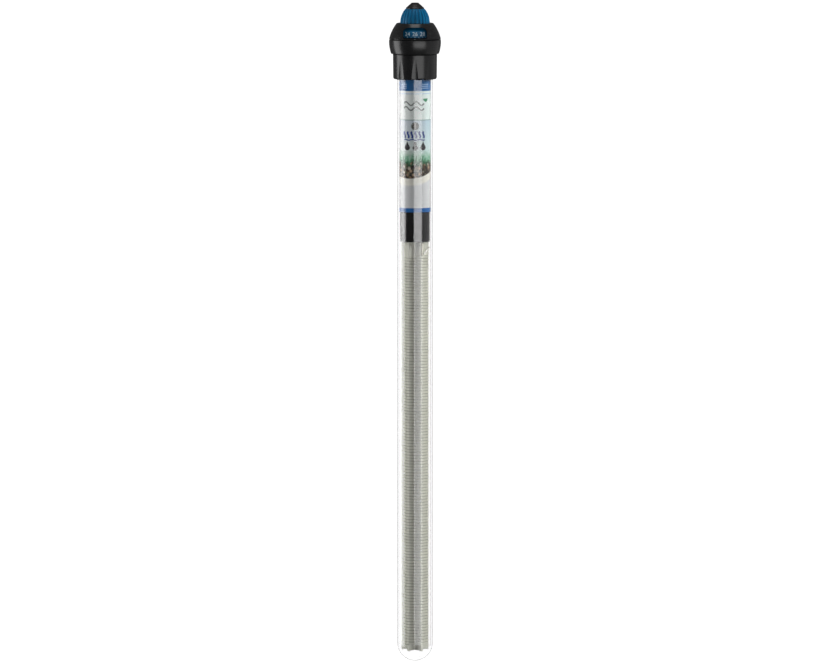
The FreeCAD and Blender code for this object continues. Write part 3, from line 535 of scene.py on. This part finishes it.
# Pressed and sintered ferrite magnet: charcoal, gritty and dull.
ferrite = finish("sintered_ferrite", ("#2b2a2b", "#1d1c1d"), 0.3, (0.5, 0.7), 0.02)
# Phenolic paper laminate, sawn from sheet: brown, slightly glossy.
laminate = finish("phenolic_laminate", ("#8a5a26", "#6f451b"), 0.8, (0.35, 0.5), 0.01)
# Pressed mica sheet: flecked khaki with a waxy shine.
mica = finish("pressed_mica", ("#9a8566", "#7b694f"), 1.2, (0.3, 0.5), 0.01)
# Poured epoxy: nearly black and smooth, with slow waves.
resin = finish("cast_epoxy", ("#1b1712", "#26201a"), 1.5, (0.12, 0.22), 0.01)
# Extruded silicone on the leads: greyish cream, soft and dull.
silicone = finish("silicone_insulation", ("#c9c3b6", "#b5aea0"), 0.8, (0.45, 0.6), 0.01)
# Resistor dipped in lacquer: tan, uneven and half glossy.
dipped = finish("dipped_component", ("#b9975b", "#a27f44"), 0.8, (0.3, 0.45), 0.01)
# Moulded polyester box of the capacitor: mustard yellow.
film_box = finish("potted_capacitor_case", ("#c79a2a", "#b08720"), 0.6, (0.3, 0.4), 0.008)
# Braided glass-fibre tube: chalk white and matt.
glass_fibre = finish("braided_glass_fibre", ("#f4f3ee", "#dddcd4"), 0.35, (0.6, 0.8), 0.05)
# Blown glass of the unlit neon lamp, with its electrodes behind: pale grey, glossy.
lamp_glass = finish("neon_lamp_glass", ("#cfccc6", "#bcb8b1"), 1.5, (0.05, 0.12), 0.004)
# Screen-printed inks: flat colours, slightly uneven where they are thick.
white_print, grey_ink, navy_ink, black_ink, green_ink, leaf_ink, pale_ink = (
    finish(name, colours, 0.6, (0.35, 0.5), 0.01) for name, colours in (
        ("white_scale_print", ("#c9dae3", "#b7cbd7")),
        ("grey_ink", ("#7b817f", "#6c7270")),
        ("navy_ink", ("#153a86", "#102f72")),
        ("black_ink", ("#121314", "#1b1c1e")),
        ("green_ink", ("#1f8a5c", "#167049")),
        ("leaf_ink", ("#2b7a50", "#1d5a3b")),
        ("pale_ink", ("#c9dcf0", "#b9cfe8")),
    ))
borosilicate_glass = borosilicate()
printed_film = label_print()

CAD_FINISH = {
    satin_black: ("slip_ring", "spindle", "seal_keeper", "lamp_clip"),
    epdm: ("tube_gasket", "seal_ring"),
    resin: ("lead_potting",),
    zinc_steel: ("spindle_clip", "detent_spring", "bush_bracket", "lever_bracket", "pivot_pin",
                 "set_lever", "return_spring"),
    laminate: ("carrier_board", "top_spider"),
    turned_brass: ("board_rivets", "threaded_bush", "adjusting_screw", "strip_rivets", "fixed_bracket",
                   "terminals"),
    bimetal: ("bimetal_strip",),
    silver: ("moving_contact", "fixed_contact"),
    ferrite: ("snap_magnet",),
    lamp_glass: ("pilot_lamp",),
    dipped: ("lamp_resistor",),
    film_box: ("capacitor",),
    steatite: ("thermal_fuse", "core_cap"),
    mica: ("heat_shield",),
    silicone: ("supply_leads", "start_lead", "return_lead"),
    glass_fibre: ("lead_sleeve",),
}
for finish, names in CAD_FINISH.items():
    for name in names:
        cad_mesh = nodes[name].data
        if not cad_mesh.materials:
            cad_mesh.materials.append(finish)
        for spot in nodes[name].material_slots:
            spot.material = finish


# ---- camera, light and floor -----------------------------------------------------------------
CAMERA_ELEVATION, CAMERA_LENS, CAMERA_SENSOR = 6.0, 250.0, 36.0
VIEW_WIDTH, VIEW_CENTRE_Z = 0.6045, -0.1845  # what the picture shows at the tube, in metres
FLOOR_HALF, FLOOR_DROP = 400.0, 0.9  # so wide that its edge stays out of sight, well below the tube
AMBIENT = 0.12  # the world's light, which the camera itself sees as plain white


def glowing(name, shade, glow):
    """Matt painted board with some light of its own, as lit by lamps outside the scene."""
    material, tree, shader, out, place = new_material(name)
    shader.inputs["Base Color"].default_value = linear(shade)
    shader.inputs["Roughness"].default_value = 1.0
    shader.inputs["Emission Color"].default_value = (1, 1, 1, 1)
    shader.inputs["Emission Strength"].default_value = glow
    return material


def rectangle(name, corners, material):
    """A flat object with one four-cornered face."""
    mesh = bpy.data.meshes.new(name)
    mesh.from_pydata(corners, [], [(0, 1, 2, 3)])
    mesh.materials.append(material)
    obj = placed(name, mesh)
    return obj


def set_stage():
    scene = bpy.context.scene
    camera = bpy.data.cameras.new("camera")
    camera.lens, camera.sensor_width, camera.clip_end = CAMERA_LENS, CAMERA_SENSOR, 1000.0
    holder = placed("camera", camera)
    distance = VIEW_WIDTH * CAMERA_LENS / CAMERA_SENSOR
    tilt = math.radians(CAMERA_ELEVATION)
    holder.location = (0, -distance * math.cos(tilt), VIEW_CENTRE_Z + distance * math.sin(tilt))
    holder.rotation_euler = (math.radians(90) - tilt, 0, 0)
    scene.camera = holder
    scene.view_settings.view_transform = "Standard"
    scene.cycles.caustics_refractive = False
    scene.cycles.caustics_reflective = False

    world = bpy.data.worlds.new("studio")
    world.use_nodes = True
    background = world.node_tree.nodes["Background"]
    background.inputs["Color"].default_value = (1, 1, 1, 1)
    seen = add(world.node_tree, "ShaderNodeLightPath").outputs["Is Camera Ray"]
    strength = add(world.node_tree, "ShaderNodeMath", "MULTIPLY_ADD", (seen, 1 - AMBIENT, AMBIENT))
    world.node_tree.links.new(strength.outputs[0], background.inputs["Strength"])
    scene.world = world

    half, level = FLOOR_HALF, GLASS_FOOT * MM - FLOOR_DROP
    corners = [(-half, -half, level), (half, -half, level), (half, half, level), (-half, half, level)]
    floor = rectangle("floor", corners, glowing("pale_floor", "#f4f4f4", 1.0))
    floor.visible_diffuse = False
    floor.visible_glossy = False


def stand(obj, azimuth, distance, z, tilt=0.0):
    """Stands a lamp or a card round the tube. Azimuth is from the camera's side towards +X."""
    a = math.radians(azimuth)
    obj.location = (distance * math.sin(a), -distance * math.cos(a), z)
    obj.rotation_euler = (math.radians(tilt), 0, a)
    obj.visible_camera = False


def softbox(name, azimuth, distance, width, height, z, watts, tilt=90.0):
    """A rectangular lamp that faces the tube, or looks down on it at a smaller tilt."""
    lamp = bpy.data.lights.new(name, "AREA")
    lamp.shape, lamp.size, lamp.size_y, lamp.energy = "RECTANGLE", width, height, watts
    holder = placed(name, lamp)
    stand(holder, azimuth, distance, z, tilt)
    return holder


def card(name, azimuth, distance, width, height, z, glow):
    """A standing dark card that shows only in reflections and holds light back."""
    w, h = width / 2, height / 2
    corners = [(-w, 0, -h), (w, 0, -h), (w, 0, h), (-w, 0, h)]
    stand(rectangle(name, corners, glowing(name, "#101010", glow)), azimuth, distance, z)


set_stage()
# Name, azimuth, distance, width, height, height of its middle, then watts or glow.
softbox("softbox_right", 20.5, 3.0, 3.0, 1.05, -0.5, 25.0)
softbox("softbox_left", -90.0, 1.4, 0.86, 1.2, -0.3, 10.0)
softbox("top_lamp", 0.0, 0.3, 0.7, 0.7, 1.1, 4.0, tilt=15)
for key_lamp in (softbox("key_lamp_right", 92.0, 1.3, 0.9, 0.6, 0.55, 28.0, tilt=61),
                 softbox("key_lamp_left", -86.0, 1.3, 0.9, 0.6, 0.55, 13.0, tilt=61)):
    key_lamp.visible_glossy = False
card("black_card", -38.5, 0.8, 0.84, 1.8, -0.25, 0.06)
card("grey_card", 95.0, 0.9, 1.6, 0.76, -0.34, 0.35)


# ---- glass -----------------------------------------------------------------------------------
def glass_outline():
    centre = GLASS_FOOT + GLASS_R
    inner = GLASS_R - GLASS_WALL
    bow = math.sqrt(0.5)
    outline = [(0.0, GLASS_FOOT)]
    outline += arc((0, GLASS_FOOT), (GLASS_R * bow, centre - GLASS_R * bow), (GLASS_R, centre), 28)
    outline += [(GLASS_R, -0.8), (GLASS_R, 0.0), (NECK_R, 1.2), (NECK_R, GLASS_TOP - 0.6)]
    outline += [(NECK_R - 0.6, GLASS_TOP), (inner + 0.5, GLASS_TOP), (inner, GLASS_TOP - 0.5)]
    outline += [(inner, GLASS_TOP - 1.5), (inner, centre)]
    outline += arc((inner, centre), (inner * bow, centre - inner * bow), (0, centre - inner), 28)
    return outline


def make_glass():
    mesh = mesh_from(turned(divided(glass_outline(), 30.0), 192), "glass")
    piece("heater_glass", mesh, borosilicate_glass, "head", "glass", "glass_tube")


# ---- head ------------------------------------------------------------------------------------
carve_flutes = flute_tree()


def carved(outline, segments, cutter_at, material, count, cutter_r, edge):
    """A turned mesh with flutes, where cutter_at(r, z) gives the cutter axis's distance."""
    mesh = mesh_from(turned(outline, segments), "blank")
    attribute = mesh.attributes.new("cutter_at", "FLOAT", "POINT")
    for k, vertex in enumerate(mesh.vertices):
        r = math.hypot(vertex.co.x, vertex.co.y) / MM
        attribute.data[k].value = cutter_at(r, vertex.co.z / MM) * MM
    result = grown(mesh, carve_flutes, {
        "Count": count, "Cutter Radius": cutter_r * MM, "Edge": edge * MM, "Material": material})
    result.attributes.remove(result.attributes["cutter_at"])
    return result


FAR = 1000.0  # a cutter distance that cuts nothing
# Lays what was turned about Z along the gland's axis, its top to the rear.
TO_GLAND = Matrix.Translation((0, 0, GLAND_Z)) @ Matrix.Rotation(math.radians(-90), 4, "X")


def make_nut():
    bore, thread_r, lip = 13.35, 14.2, 2.6
    flute_r, depth, flute_top = 10.0, 0.52, 15.7
    outline = divided(rounded([
        (bore, 0, 0.2), (NUT_FOOT_R, 0, 1.8), (NUT_TOP_R, NUT_TOP, 0.5), (thread_r, NUT_TOP, 0.2),
        (thread_r, lip, 0), (bore, lip, 0)], 8), 0.3)

    def cutter_at(r, z):
        if r < 13.9 or z > 17:
            return FAR
        return NUT_FOOT_R - depth + flute_r + (NUT_TOP_R - NUT_FOOT_R + depth) * z / flute_top

    mesh = carved(outline, 540, cutter_at, satin_black, 9, flute_r, 0.02)
    piece("fluted_union_nut", mesh, satin_black, "head", "black_plastic", "union_nut")


def make_head_ring():
    """Socket for the glass, floor, spindle boss and flared ring in one, with the gland's stub."""
    spigot_bore, spigot_r, spigot_foot = 13.3, 14.1, 8.0
    chamber_r, floor_foot, floor_top = 16.4, 18.8, 20.4
    boss_r, boss_top, seal_r, seal_foot, shaft_r = 5.0, 29.8, 3.4, 27.0, 2.05
    outline = rounded([
        (spigot_bore, spigot_foot, 0), (spigot_r, spigot_foot, 0), (spigot_r, HEAD_FOOT, 0),
        (HEAD_R - 1.5, HEAD_FOOT, 0.5),
        *arc((HEAD_R - 1.5, HEAD_FOOT), (HEAD_R - 0.3, 23.0), (HEAD_R, HEAD_TOP - 0.4), 12),
        (HEAD_R, HEAD_TOP, 0.35), (chamber_r, HEAD_TOP, 0.2), (chamber_r, floor_top, 0.5),
        (boss_r, floor_top, 0.5), (boss_r, boss_top, 0.2), (seal_r, boss_top, 0),
        (seal_r, seal_foot, 0), (shaft_r, seal_foot, 0), (shaft_r, floor_foot, 0),
        (spigot_bore, floor_foot, 0)], 6)
    ring = mesh_from(turned(outline, 192), "ring")
    seat_r, stub_foot = GLAND_R - 0.72, 17.0
    stub = turned(rounded([
        (seat_r, stub_foot, 0), (seat_r, GLAND_END, 0.1), (GLAND_R, GLAND_END, 0.4),
        (GLAND_R, 19.4, 0.6), (GLAND_R + 0.9, 18.2, 0.5), (GLAND_R + 0.9, stub_foot, 0)], 5), 64)
    stub.transform(TO_GLAND)
    hole = bmesh.new()
    bmesh.ops.create_cone(hole, cap_ends=True, segments=64, radius1=seat_r, radius2=seat_r, depth=8.0)
    hole.transform(Matrix.Translation((0, 17.5, GLAND_Z)) @ Matrix.Rotation(math.radians(90), 4, "X"))
    bored = combined(ring, mesh_from(hole, "hole"), "DIFFERENCE")
    whole = combined(bored, mesh_from(stub, "stub"), "UNION")
    piece("head_ring", whole, satin_black, "head", "black_plastic", "head_body")


def make_grommet():
    bore, body_r, lip_r, inner_end = 3.1, 3.95, 4.3, 16.45
    flange_z, flange_end, lip_end = GLAND_END + 0.02, GLAND_END + 1.4, GLAND_END + 1.9
    bm = turned(rounded([
        (bore, inner_end, 0.3), (body_r, inner_end, 0.3), (body_r, flange_z, 0), (GLAND_R, flange_z, 0.2),
        (GLAND_R, flange_end, 0.6), (lip_r, flange_end, 0.1), (lip_r, lip_end, 0.3),
        (bore, lip_end, 0.5)], 5), 72)
    bm.transform(TO_GLAND)
    piece("inlet_grommet", mesh_from(bm, "grommet"), epdm, "head", "rubber", "cable_grommet")


def make_dome():
    """Cover with a round top opening and an arched window, whose corners are well rounded."""
    skirt_r, inner_r, skirt_foot = 16.3, 15.3, DOME_FOOT - 2.2
    shoulder, lip, opening_r = (13.5, DOME_TOP - 0.35), (12.6, DOME_TOP - 1.7), 11.4
    outline = [(skirt_r, skirt_foot), (skirt_r, DOME_FOOT), (DOME_R - 0.3, DOME_FOOT)]
    outline += [(DOME_R, DOME_FOOT + 0.3)]
    outline += arc((DOME_R, DOME_FOOT + 0.3), (16.75, 34.9), shoulder, 26)
    outline += arc(shoulder, (12.6, DOME_TOP), (11.6, DOME_TOP - 0.5), 8)
    outline += [(opening_r, DOME_TOP - 1.0), (opening_r, DOME_TOP - 1.9), lip]
    outline += arc(lip, (15.2, 34.6), (inner_r, DOME_FOOT - 0.4), 14)
    outline += [(inner_r, skirt_foot)]
    shell = mesh_from(turned(outline, 240), "dome")
    half, foot, top, corner = 8.6, 30.0, 37.9, 5.1
    shape = rounded([(-half, foot, 0.9), (half, foot, 0.9), (half, top, corner), (-half, top, corner)], 10)
    bm = bmesh.new()
    front, rear = ([bm.verts.new((u, y, z)) for u, z in shape] for y in (-26, -6))
    bm.faces.new(front)
    bm.faces.new(rear[::-1])
    for k in range(len(shape)):
        j = (k + 1) % len(shape)
        bm.faces.new((front[k], rear[k], rear[j], front[j]))
    mesh = combined(shell, mesh_from(bm, "window"), "DIFFERENCE", 0.22)
    piece("window_dome", mesh, satin_black, "head", "black_plastic", "dome_cover")


# ---- knob ------------------------------------------------------------------------------------
def knob_side(z, wall=0.0):
    rise, step = KNOB_TOP - KNOB_BEND, KNOB_R - KNOB_TOP_R
    radius = (step * step + rise * rise) / (2 * step)
    return KNOB_R - radius + math.sqrt(max((radius - wall) ** 2 - max(z - KNOB_BEND, 0) ** 2, 0))


def make_knob():
    """Bell with rounded grooves, on a skirt that carries the scale. Hollow, with a hub."""
    wall, groove_r, proud, groove_foot = 1.5, 0.78, 0.16, DIAL_TOP + 4.3
    seat_r, seat_z, spline_r, hub_r, hub_foot, roof = 4.0, KNOB_TOP - 3.3, 2.66, 5.0, 32.6, KNOB_TOP - 4.5
    outline = [(DIAL_R - 1.2, DIAL_FOOT), (DIAL_R - 0.2, DIAL_FOOT), (DIAL_R, DIAL_FOOT + 0.2),
               (DIAL_R, DIAL_TOP - 0.3), (DIAL_R - 0.25, DIAL_TOP + 0.15)]
    outline += [(KNOB_R + 0.75, DIAL_TOP + 2.75), (KNOB_R + 0.2, DIAL_TOP + 3.2), (KNOB_R, DIAL_TOP + 3.6)]
    rises = [KNOB_BEND + (KNOB_TOP - 0.25 - KNOB_BEND) * k / 40 for k in range(41)]
    outline += [(knob_side(z), z) for z in rises]
    outline += [(KNOB_TOP_R - 0.35, KNOB_TOP), (seat_r, KNOB_TOP), (seat_r, seat_z), (spline_r, seat_z)]
    outline += [(spline_r, hub_foot), (hub_r, hub_foot), (hub_r, roof)]
    outline += [(knob_side(z, wall), z) for z in (46.4, 45.0, 43.5, 42.0, KNOB_BEND)]
    outline += [(KNOB_R - wall, DIAL_TOP + 2.6), (DIAL_R - 1.2, DIAL_TOP - 1.0)]

    def cutter_at(r, z):
        if z < groove_foot - 1.2 or r < knob_side(max(z, KNOB_BEND)) - 0.6:
            return FAR
        return r + proud + max(0.0, groove_foot - z) * 1.1

    mesh = carved(divided(outline, 0.5), 24 * 16, cutter_at, petrol_blue, 24, groove_r, 0.12)
    piece("ribbed_knob", mesh, petrol_blue, "dial", "blue_plastic", "dial_knob")


def make_cap():
    """Tip with eight shallow facets that meet in soft ridges."""
    plug_r, plug_foot, stem_r, stem_top = 3.8, CAP_FOOT - 1.2, 1.82, 53.6
    edge, rim = (2.2, CAP_TOP - 0.03), (3.05, CAP_TOP - 0.55)
    outline = [(0, CAP_TOP), (1.2, CAP_TOP), edge]
    outline += arc(edge, (2.75, CAP_TOP - 0.2), rim, 6)
    outline += arc(rim, (4.95, 53.1), (CAP_FOOT_R, CAP_FOOT + 0.5), 30)
    outline += [(CAP_FOOT_R, CAP_FOOT + 0.2), (CAP_FOOT_R - 0.2, CAP_FOOT), (plug_r, CAP_FOOT)]
    outline += [(plug_r, plug_foot), (stem_r, plug_foot), (stem_r, stem_top), (0, stem_top)]

    def cutter_at(r, z):
        if z < CAP_FOOT + 0.1 or r < 2.4:
            return FAR
        return r + 1.9 + max(0.0, z - CAP_TOP + 0.5) * 2

    mesh = carved(outline, 256, cutter_at, satin_black, 8, 2.25, 0.1)
    piece("faceted_cap", mesh, satin_black, "spindle", "black_plastic", "spindle_cap")


# ---- printed marks ---------------------------------------------------------------------------
def wrapped(bm, radius, step=0.35):
    """Bends a flat print, drawn in (u, v) on the XZ plane, round the Z axis, u = 0 to the front."""
    us = [v.co.x for v in bm.verts]
    k = math.ceil(min(us) / step)
    while k * step < max(us):
        geometry = bm.verts[:] + bm.edges[:] + bm.faces[:]
        bmesh.ops.bisect_plane(bm, geom=geometry, plane_co=(k * step, 0, 0), plane_no=(1, 0, 0), dist=1e-5)
        k += 1
    for v in bm.verts:
        r = radius - v.co.y
        v.co = Vector((r * math.sin(v.co.x / radius), -r * math.cos(v.co.x / radius), v.co.z))


def printed(shapes, thick=0.03):
    """Flat solids from closed (u, v) outlines."""
    bm = bmesh.new()
    for shape in shapes:
        face = bm.faces.new([bm.verts.new((u, 0, v)) for u, v in shape])
        grown_face = bmesh.ops.extrude_face_region(bm, geom=[face])
        moved = [g for g in grown_face["geom"] if isinstance(g, bmesh.types.BMVert)]
        bmesh.ops.translate(bm, verts=moved, vec=(0, -thick, 0))
    return bm


def stroke(points, width):
    """The outline of a line of that width through the points."""
    left, right = [], []
    for k, (u, v) in enumerate(points):
        u0, v0 = points[max(k - 1, 0)]
        u1, v1 = points[min(k + 1, len(points) - 1)]
        length = math.hypot(u1 - u0, v1 - v0) or 1.0
        du, dv = (v1 - v0) / length * width / 2, (u0 - u1) / length * width / 2
        left.append((u + du, v + dv))
        right.append((u - du, v - dv))
    return left + right[::-1]


def block(u, v, width, height):
    return [(u, v), (u + width, v), (u + width, v + height), (u, v + height)]


def oval(u, v, a, b, steps=28):
    return [(u + a * math.cos(TAU * k / steps), v + b * math.sin(TAU * k / steps)) for k in range(steps)]


def drop(u, v, size):
    """A water drop: a round foot that narrows to a point above."""
    points = []
    for k in range(32):
        a = TAU * k / 32
        lift = max(0.0, math.sin(a)) ** 3 * size * 0.75
        squeeze = 1.0 - 0.85 * max(0.0, math.sin(a)) ** 2
        points.append((u + math.cos(a) * size * 0.62 * squeeze, v + math.sin(a) * size * 0.62 + lift))
    return points


def wave(u0, u1, v, height, crests, width, steps=48):
    span_u = u1 - u0
    turns = [TAU * crests * k / steps for k in range(steps + 1)]
    return stroke([(u0 + span_u * k / steps, v + height * math.sin(a)) for k, a in enumerate(turns)], width)


def rising(u, v0, v1, sway, width, steps=24):
    """An upright heat line that sways once."""
    points = [(u + sway * math.sin(TAU * k / steps), v0 + (v1 - v0) * k / steps) for k in range(steps + 1)]
    return stroke(points, width)


def on_label(name, shapes, material):
    bm = printed(shapes)
    wrapped(bm, FILM_R + 0.005)
    piece(name, mesh_from(bm, name), material, "head", "label_print")


def make_label():
    inner = FILM_R - 0.2
    outline = [(FILM_R, FILM_FOOT), (FILM_R, FILM_TOP), (inner, FILM_TOP), (inner, FILM_FOOT)]
    film = mesh_from(turned(divided(outline, 12), 240), "film")
    hole = bmesh.new()
    bmesh.ops.create_cone(hole, cap_ends=True, segments=64, radius1=LAMP_HOLE_R, radius2=LAMP_HOLE_R,
                          depth=6.0)
    hole.transform(Matrix.Translation((0, -11.3, LAMP_Z)) @ Matrix.Rotation(math.radians(90), 4, "X"))
    film = combined(film, mesh_from(hole, "hole"), "DIFFERENCE")
    piece("label", film, printed_film, "head", "label_print", "label_film")

    waves = [wave(-8.6, 6.6, v, 1.3, 2, 0.95) for v in (-17.2, -20.8)]
    on_label("wave_mark", waves, grey_ink)
    leaf = [(5.6, -14.2), (6.9, -13.7), (9.9, -13.6), (9.2, -15.2), (8.2, -16.3), (7.2, -15.6), (6.4, -15.0)]
    on_label("leaf_mark", [leaf], green_ink)
    outer, inner = (oval(0, LAMP_Z, r, r, 48) for r in (2.85, LAMP_HOLE_R + 0.05))
    halves = [outer[:25] + inner[24::-1], [*outer[24:], outer[0], inner[0], *inner[:23:-1]]]
    on_label("lamp_ring", halves, grey_ink)
    lines = [rising(u, -42.3, -37.4, 0.45, 1.3) for u in (-7.6, -4.9, -2.2, 0.6, 3.4, 6.2)]
    on_label("heat_lines", lines + [wave(-8.4, 7.2, -43.5, 0.25, 3, 0.8)], navy_ink)
    turns = [math.radians(60 - 300 * k / 28) for k in range(29)]
    bulb = [(0.1 + 1.8 * math.cos(a), -49.4 + 1.8 * math.sin(a)) for a in turns]
    thermometer = [*bulb, (-0.8, -45.0), (1.0, -45.0)]
    on_label("setting_marks", [drop(-5.6, -49.0, 3.4), thermometer, drop(5.9, -49.0, 3.4)], black_ink)
    plants = []
    for k in range(15):
        u = -10.6 + k * 1.42
        tall = 4.2 + 2.6 * math.sin(k * 1.9) + 1.2 * math.cos(k * 0.7)
        lean = 1.1 * math.sin(k * 2.4)
        foot = -62.0 - 1.2 * math.cos(k * 1.3)
        blade = [(u + lean * (t / 8) ** 2, foot + tall * t / 8) for t in range(9)]
        body = stroke(blade[:-1], 0.55)
        half_count = len(body) // 2
        plants.append(body[:half_count] + [blade[-1]] + body[half_count:])
    on_label("water_plants", plants, leaf_ink)
    band_lines = [block(u, v, 5.4, 0.35) for u in (-11.4, 5.0) for v in (-6.3, -4.9, -3.5)]
    on_label("band_lines", band_lines, pale_ink)


def pour(part, bm):
    """Adds one bmesh to another and frees it."""
    mesh = bpy.data.meshes.new("part")
    part.to_mesh(mesh)
    part.free()
    bm.from_mesh(mesh)


def make_scale():
    """Temperature numbers and ticks on the dial's band, one number every 22.5 degrees."""
    height, first_z, tick_z = 3.0, 31.85, 30.55
    bm = bmesh.new()
    for k, number in enumerate(range(16, 38, 2)):
        curve = bpy.data.curves.new("number", "FONT")
        curve.body, curve.size, curve.align_x = str(number), height * 1.38, "CENTER"
        curve.resolution_u = 4
        flat = evaluated(placed("number", curve))
        digits = bmesh.new()
        digits.from_mesh(flat)
        bmesh.ops.remove_doubles(digits, verts=digits.verts, dist=1e-5)
        digits.transform(Matrix.Translation((0, 0, first_z)) @ Matrix.Rotation(math.radians(90), 4, "X"))
        raised = bmesh.ops.extrude_face_region(digits, geom=digits.faces[:])
        moved = [g for g in raised["geom"] if isinstance(g, bmesh.types.BMVert)]
        bmesh.ops.translate(digits, verts=moved, vec=(0, -0.08, 0))
        wrapped(digits, DIAL_R - 0.02, 0.5)
        digits.transform(Matrix.Rotation(math.radians(22.5 * (k - 5)), 4, "Z"))
        pour(digits, bm)
    for k in range(-10, 11):
        tall = 0.9 if k % 2 == 0 else 0.55
        tick = printed([block(-0.16, tick_z, 0.32, tall)], 0.08)
        wrapped(tick, DIAL_R - 0.02)
        tick.transform(Matrix.Rotation(math.radians(11.25 * k), 4, "Z"))
        pour(tick, bm)
    piece("temperature_scale", mesh_from(bm, "scale"), white_print, "dial", "blue_plastic")
    pointer = printed([[(-0.75, DOME_FOOT + 0.35), (0.75, DOME_FOOT + 0.35), (0, DOME_FOOT + 1.0)]], 0.1)
    wrapped(pointer, 18.55)
    piece("scale_pointer", mesh_from(pointer, "pointer"), white_print, "head", "black_plastic")


# ---- heating element -------------------------------------------------------------------------
def make_sleeve():
    wall = 0.45
    outline = rounded([
        (SLEEVE_R, SLEEVE_FOOT, 0.15), (SLEEVE_R, SLEEVE_TOP, 0.15), (SLEEVE_R - wall, SLEEVE_TOP, 0.15),
        (SLEEVE_R - wall, SLEEVE_FOOT, 0.15)], 3)
    piece("black_sleeve", mesh_from(turned(divided(outline, 6), 192), "sleeve"), black_sleeve, "head",
          "black_sleeve", "shield_sleeve")


def rib_section():
    """One rib's section as (turn from the rib's middle in degrees, radius, tip share)."""
    tip_x = CORE_R * math.cos(math.radians(RIB_HALF_DEG))
    tip_y = CORE_R * math.sin(math.radians(RIB_HALF_DEG))
    valley_turn = math.radians(180 / CORE_RIBS)
    valley = (VALLEY_R * math.cos(valley_turn), VALLEY_R * math.sin(valley_turn))
    half = [(tip_x, tip_y * 0.75, 1.0), (tip_x - 0.22, tip_y * 1.05, 0.7)]
    for share in (0.14, 0.45, 0.8):
        half.append((tip_x + (valley[0] - tip_x) * share, tip_y + (valley[1] - tip_y) * share, 0.0))
    rows = [(math.degrees(math.atan2(y, x)), math.hypot(x, y), tip) for x, y, tip in half]
    soft_valley = [(180 / CORE_RIBS, VALLEY_R + 0.12, 0.0)]
    return [(-turn, r, tip) for turn, r, tip in rows[::-1]] + rows + soft_valley


def make_core():
    section = rib_section()
    per_turn = []
    for k in range(CORE_RIBS):
        for turn, r, tip in section:
            per_turn.append((FIRST_RIB_DEG + k * 360 / CORE_RIBS + turn, r, tip, k))
    row_step = WIND_PITCH / 6
    count = int((CORE_TOP - CORE_FOOT) / row_step)
    levels = [CORE_FOOT + (CORE_TOP - CORE_FOOT) * i / count for i in range(count + 1)]
    bore_r, reach, slope, lead_groove = 1.9, CORE_R - 0.9, 0.5, 0.45
    bm = bmesh.new()
    tips, ribs = [], []

    def row(radius, level, notched=1.0):
        points = []
        for turn, r, tip, k in per_turn:
            a, at = math.radians(turn), radius(r, tip, k)
            points.append(bm.verts.new((at * math.sin(a), -at * math.cos(a), level(r))))
            tips.append(tip * notched)
            ribs.append(float(k))
        return points

    # The first rib's tip is cut back above the winding, where the start lead runs.
    rows = []
    for z in levels:
        led = lead_groove if z > WIND_TOP - 1.0 else 0.0
        rows.append(row(lambda r, tip, k: r - led if k == 0 and tip > 0 else r, lambda r: z))
    mouth = row(lambda r, tip, k: min(r - 0.05, reach),
                lambda r: CORE_FOOT + max(0.0, reach - r) * slope, 0.0)
    low_bore = row(lambda r, tip, k: bore_r, lambda r: CORE_FOOT + (reach - bore_r) * slope, 0.0)
    high_bore = row(lambda r, tip, k: bore_r, lambda r: CORE_TOP, 0.0)
    for vertex, (turn, r, tip, k) in zip(rows[0], per_turn):
        vertex.co.z = CORE_FOOT + max(0.0, reach - r) * slope
    chain = [high_bore, low_bore, mouth, *rows, high_bore]
    size = len(per_turn)
    for here, there in zip(chain, chain[1:]):
        for i in range(size):
            j = (i + 1) % size
            bm.faces.new((here[i], here[j], there[j], there[i]))
    mesh = bpy.data.meshes.new("core")
    bmesh.ops.recalc_face_normals(bm, faces=bm.faces)
    bm.to_mesh(mesh)
    bm.free()
    mesh.transform(Matrix.Scale(MM, 4))
    for label, values in (("tip", tips), ("rib", ribs)):
        mesh.attributes.new(label, "FLOAT", "POINT").data.foreach_set("value", values)
    result = grown(mesh, notch_tree(), {
        "Pitch": WIND_PITCH * MM, "Ribs": CORE_RIBS, "Depth": NOTCH_DEPTH * MM,
        "Half Width": NOTCH_HALF * MM, "Top": FIRST_TURN_Z * MM, "Foot": WIND_FOOT * MM,
        "Material": steatite}, 24.0)
    for label in ("tip", "rib"):
        result.attributes.remove(result.attributes[label])
    piece("ribbed_core", result, steatite, "head", "ceramic", "ceramic_core")


def make_winding():
    turns = int((FIRST_TURN_Z - WIND_FOOT) / WIND_PITCH)
    blank = bpy.data.meshes.new("blank")
    wire = grown(blank, winding_tree(), {
        "Turns": turns, "Ribs": CORE_RIBS, "Pitch": WIND_PITCH * MM, "Top": FIRST_TURN_Z * MM,
        "Rib Radius": (CORE_R - NOTCH_DEPTH + WIRE_R) * MM, "Rib Half Angle": math.radians(RIB_HALF_DEG),
        "First Rib": math.radians(FIRST_RIB_DEG), "Wire Radius": WIRE_R * MM, "Material": fecral}, 60.0)
    piece("wound_wire", wire, fecral, "head", "resistance_wire", "heating_wire")


make_glass()
make_nut()
make_head_ring()
make_grommet()
make_dome()
make_knob()
make_cap()
make_label()
make_scale()
make_sleeve()
make_core()
make_winding()
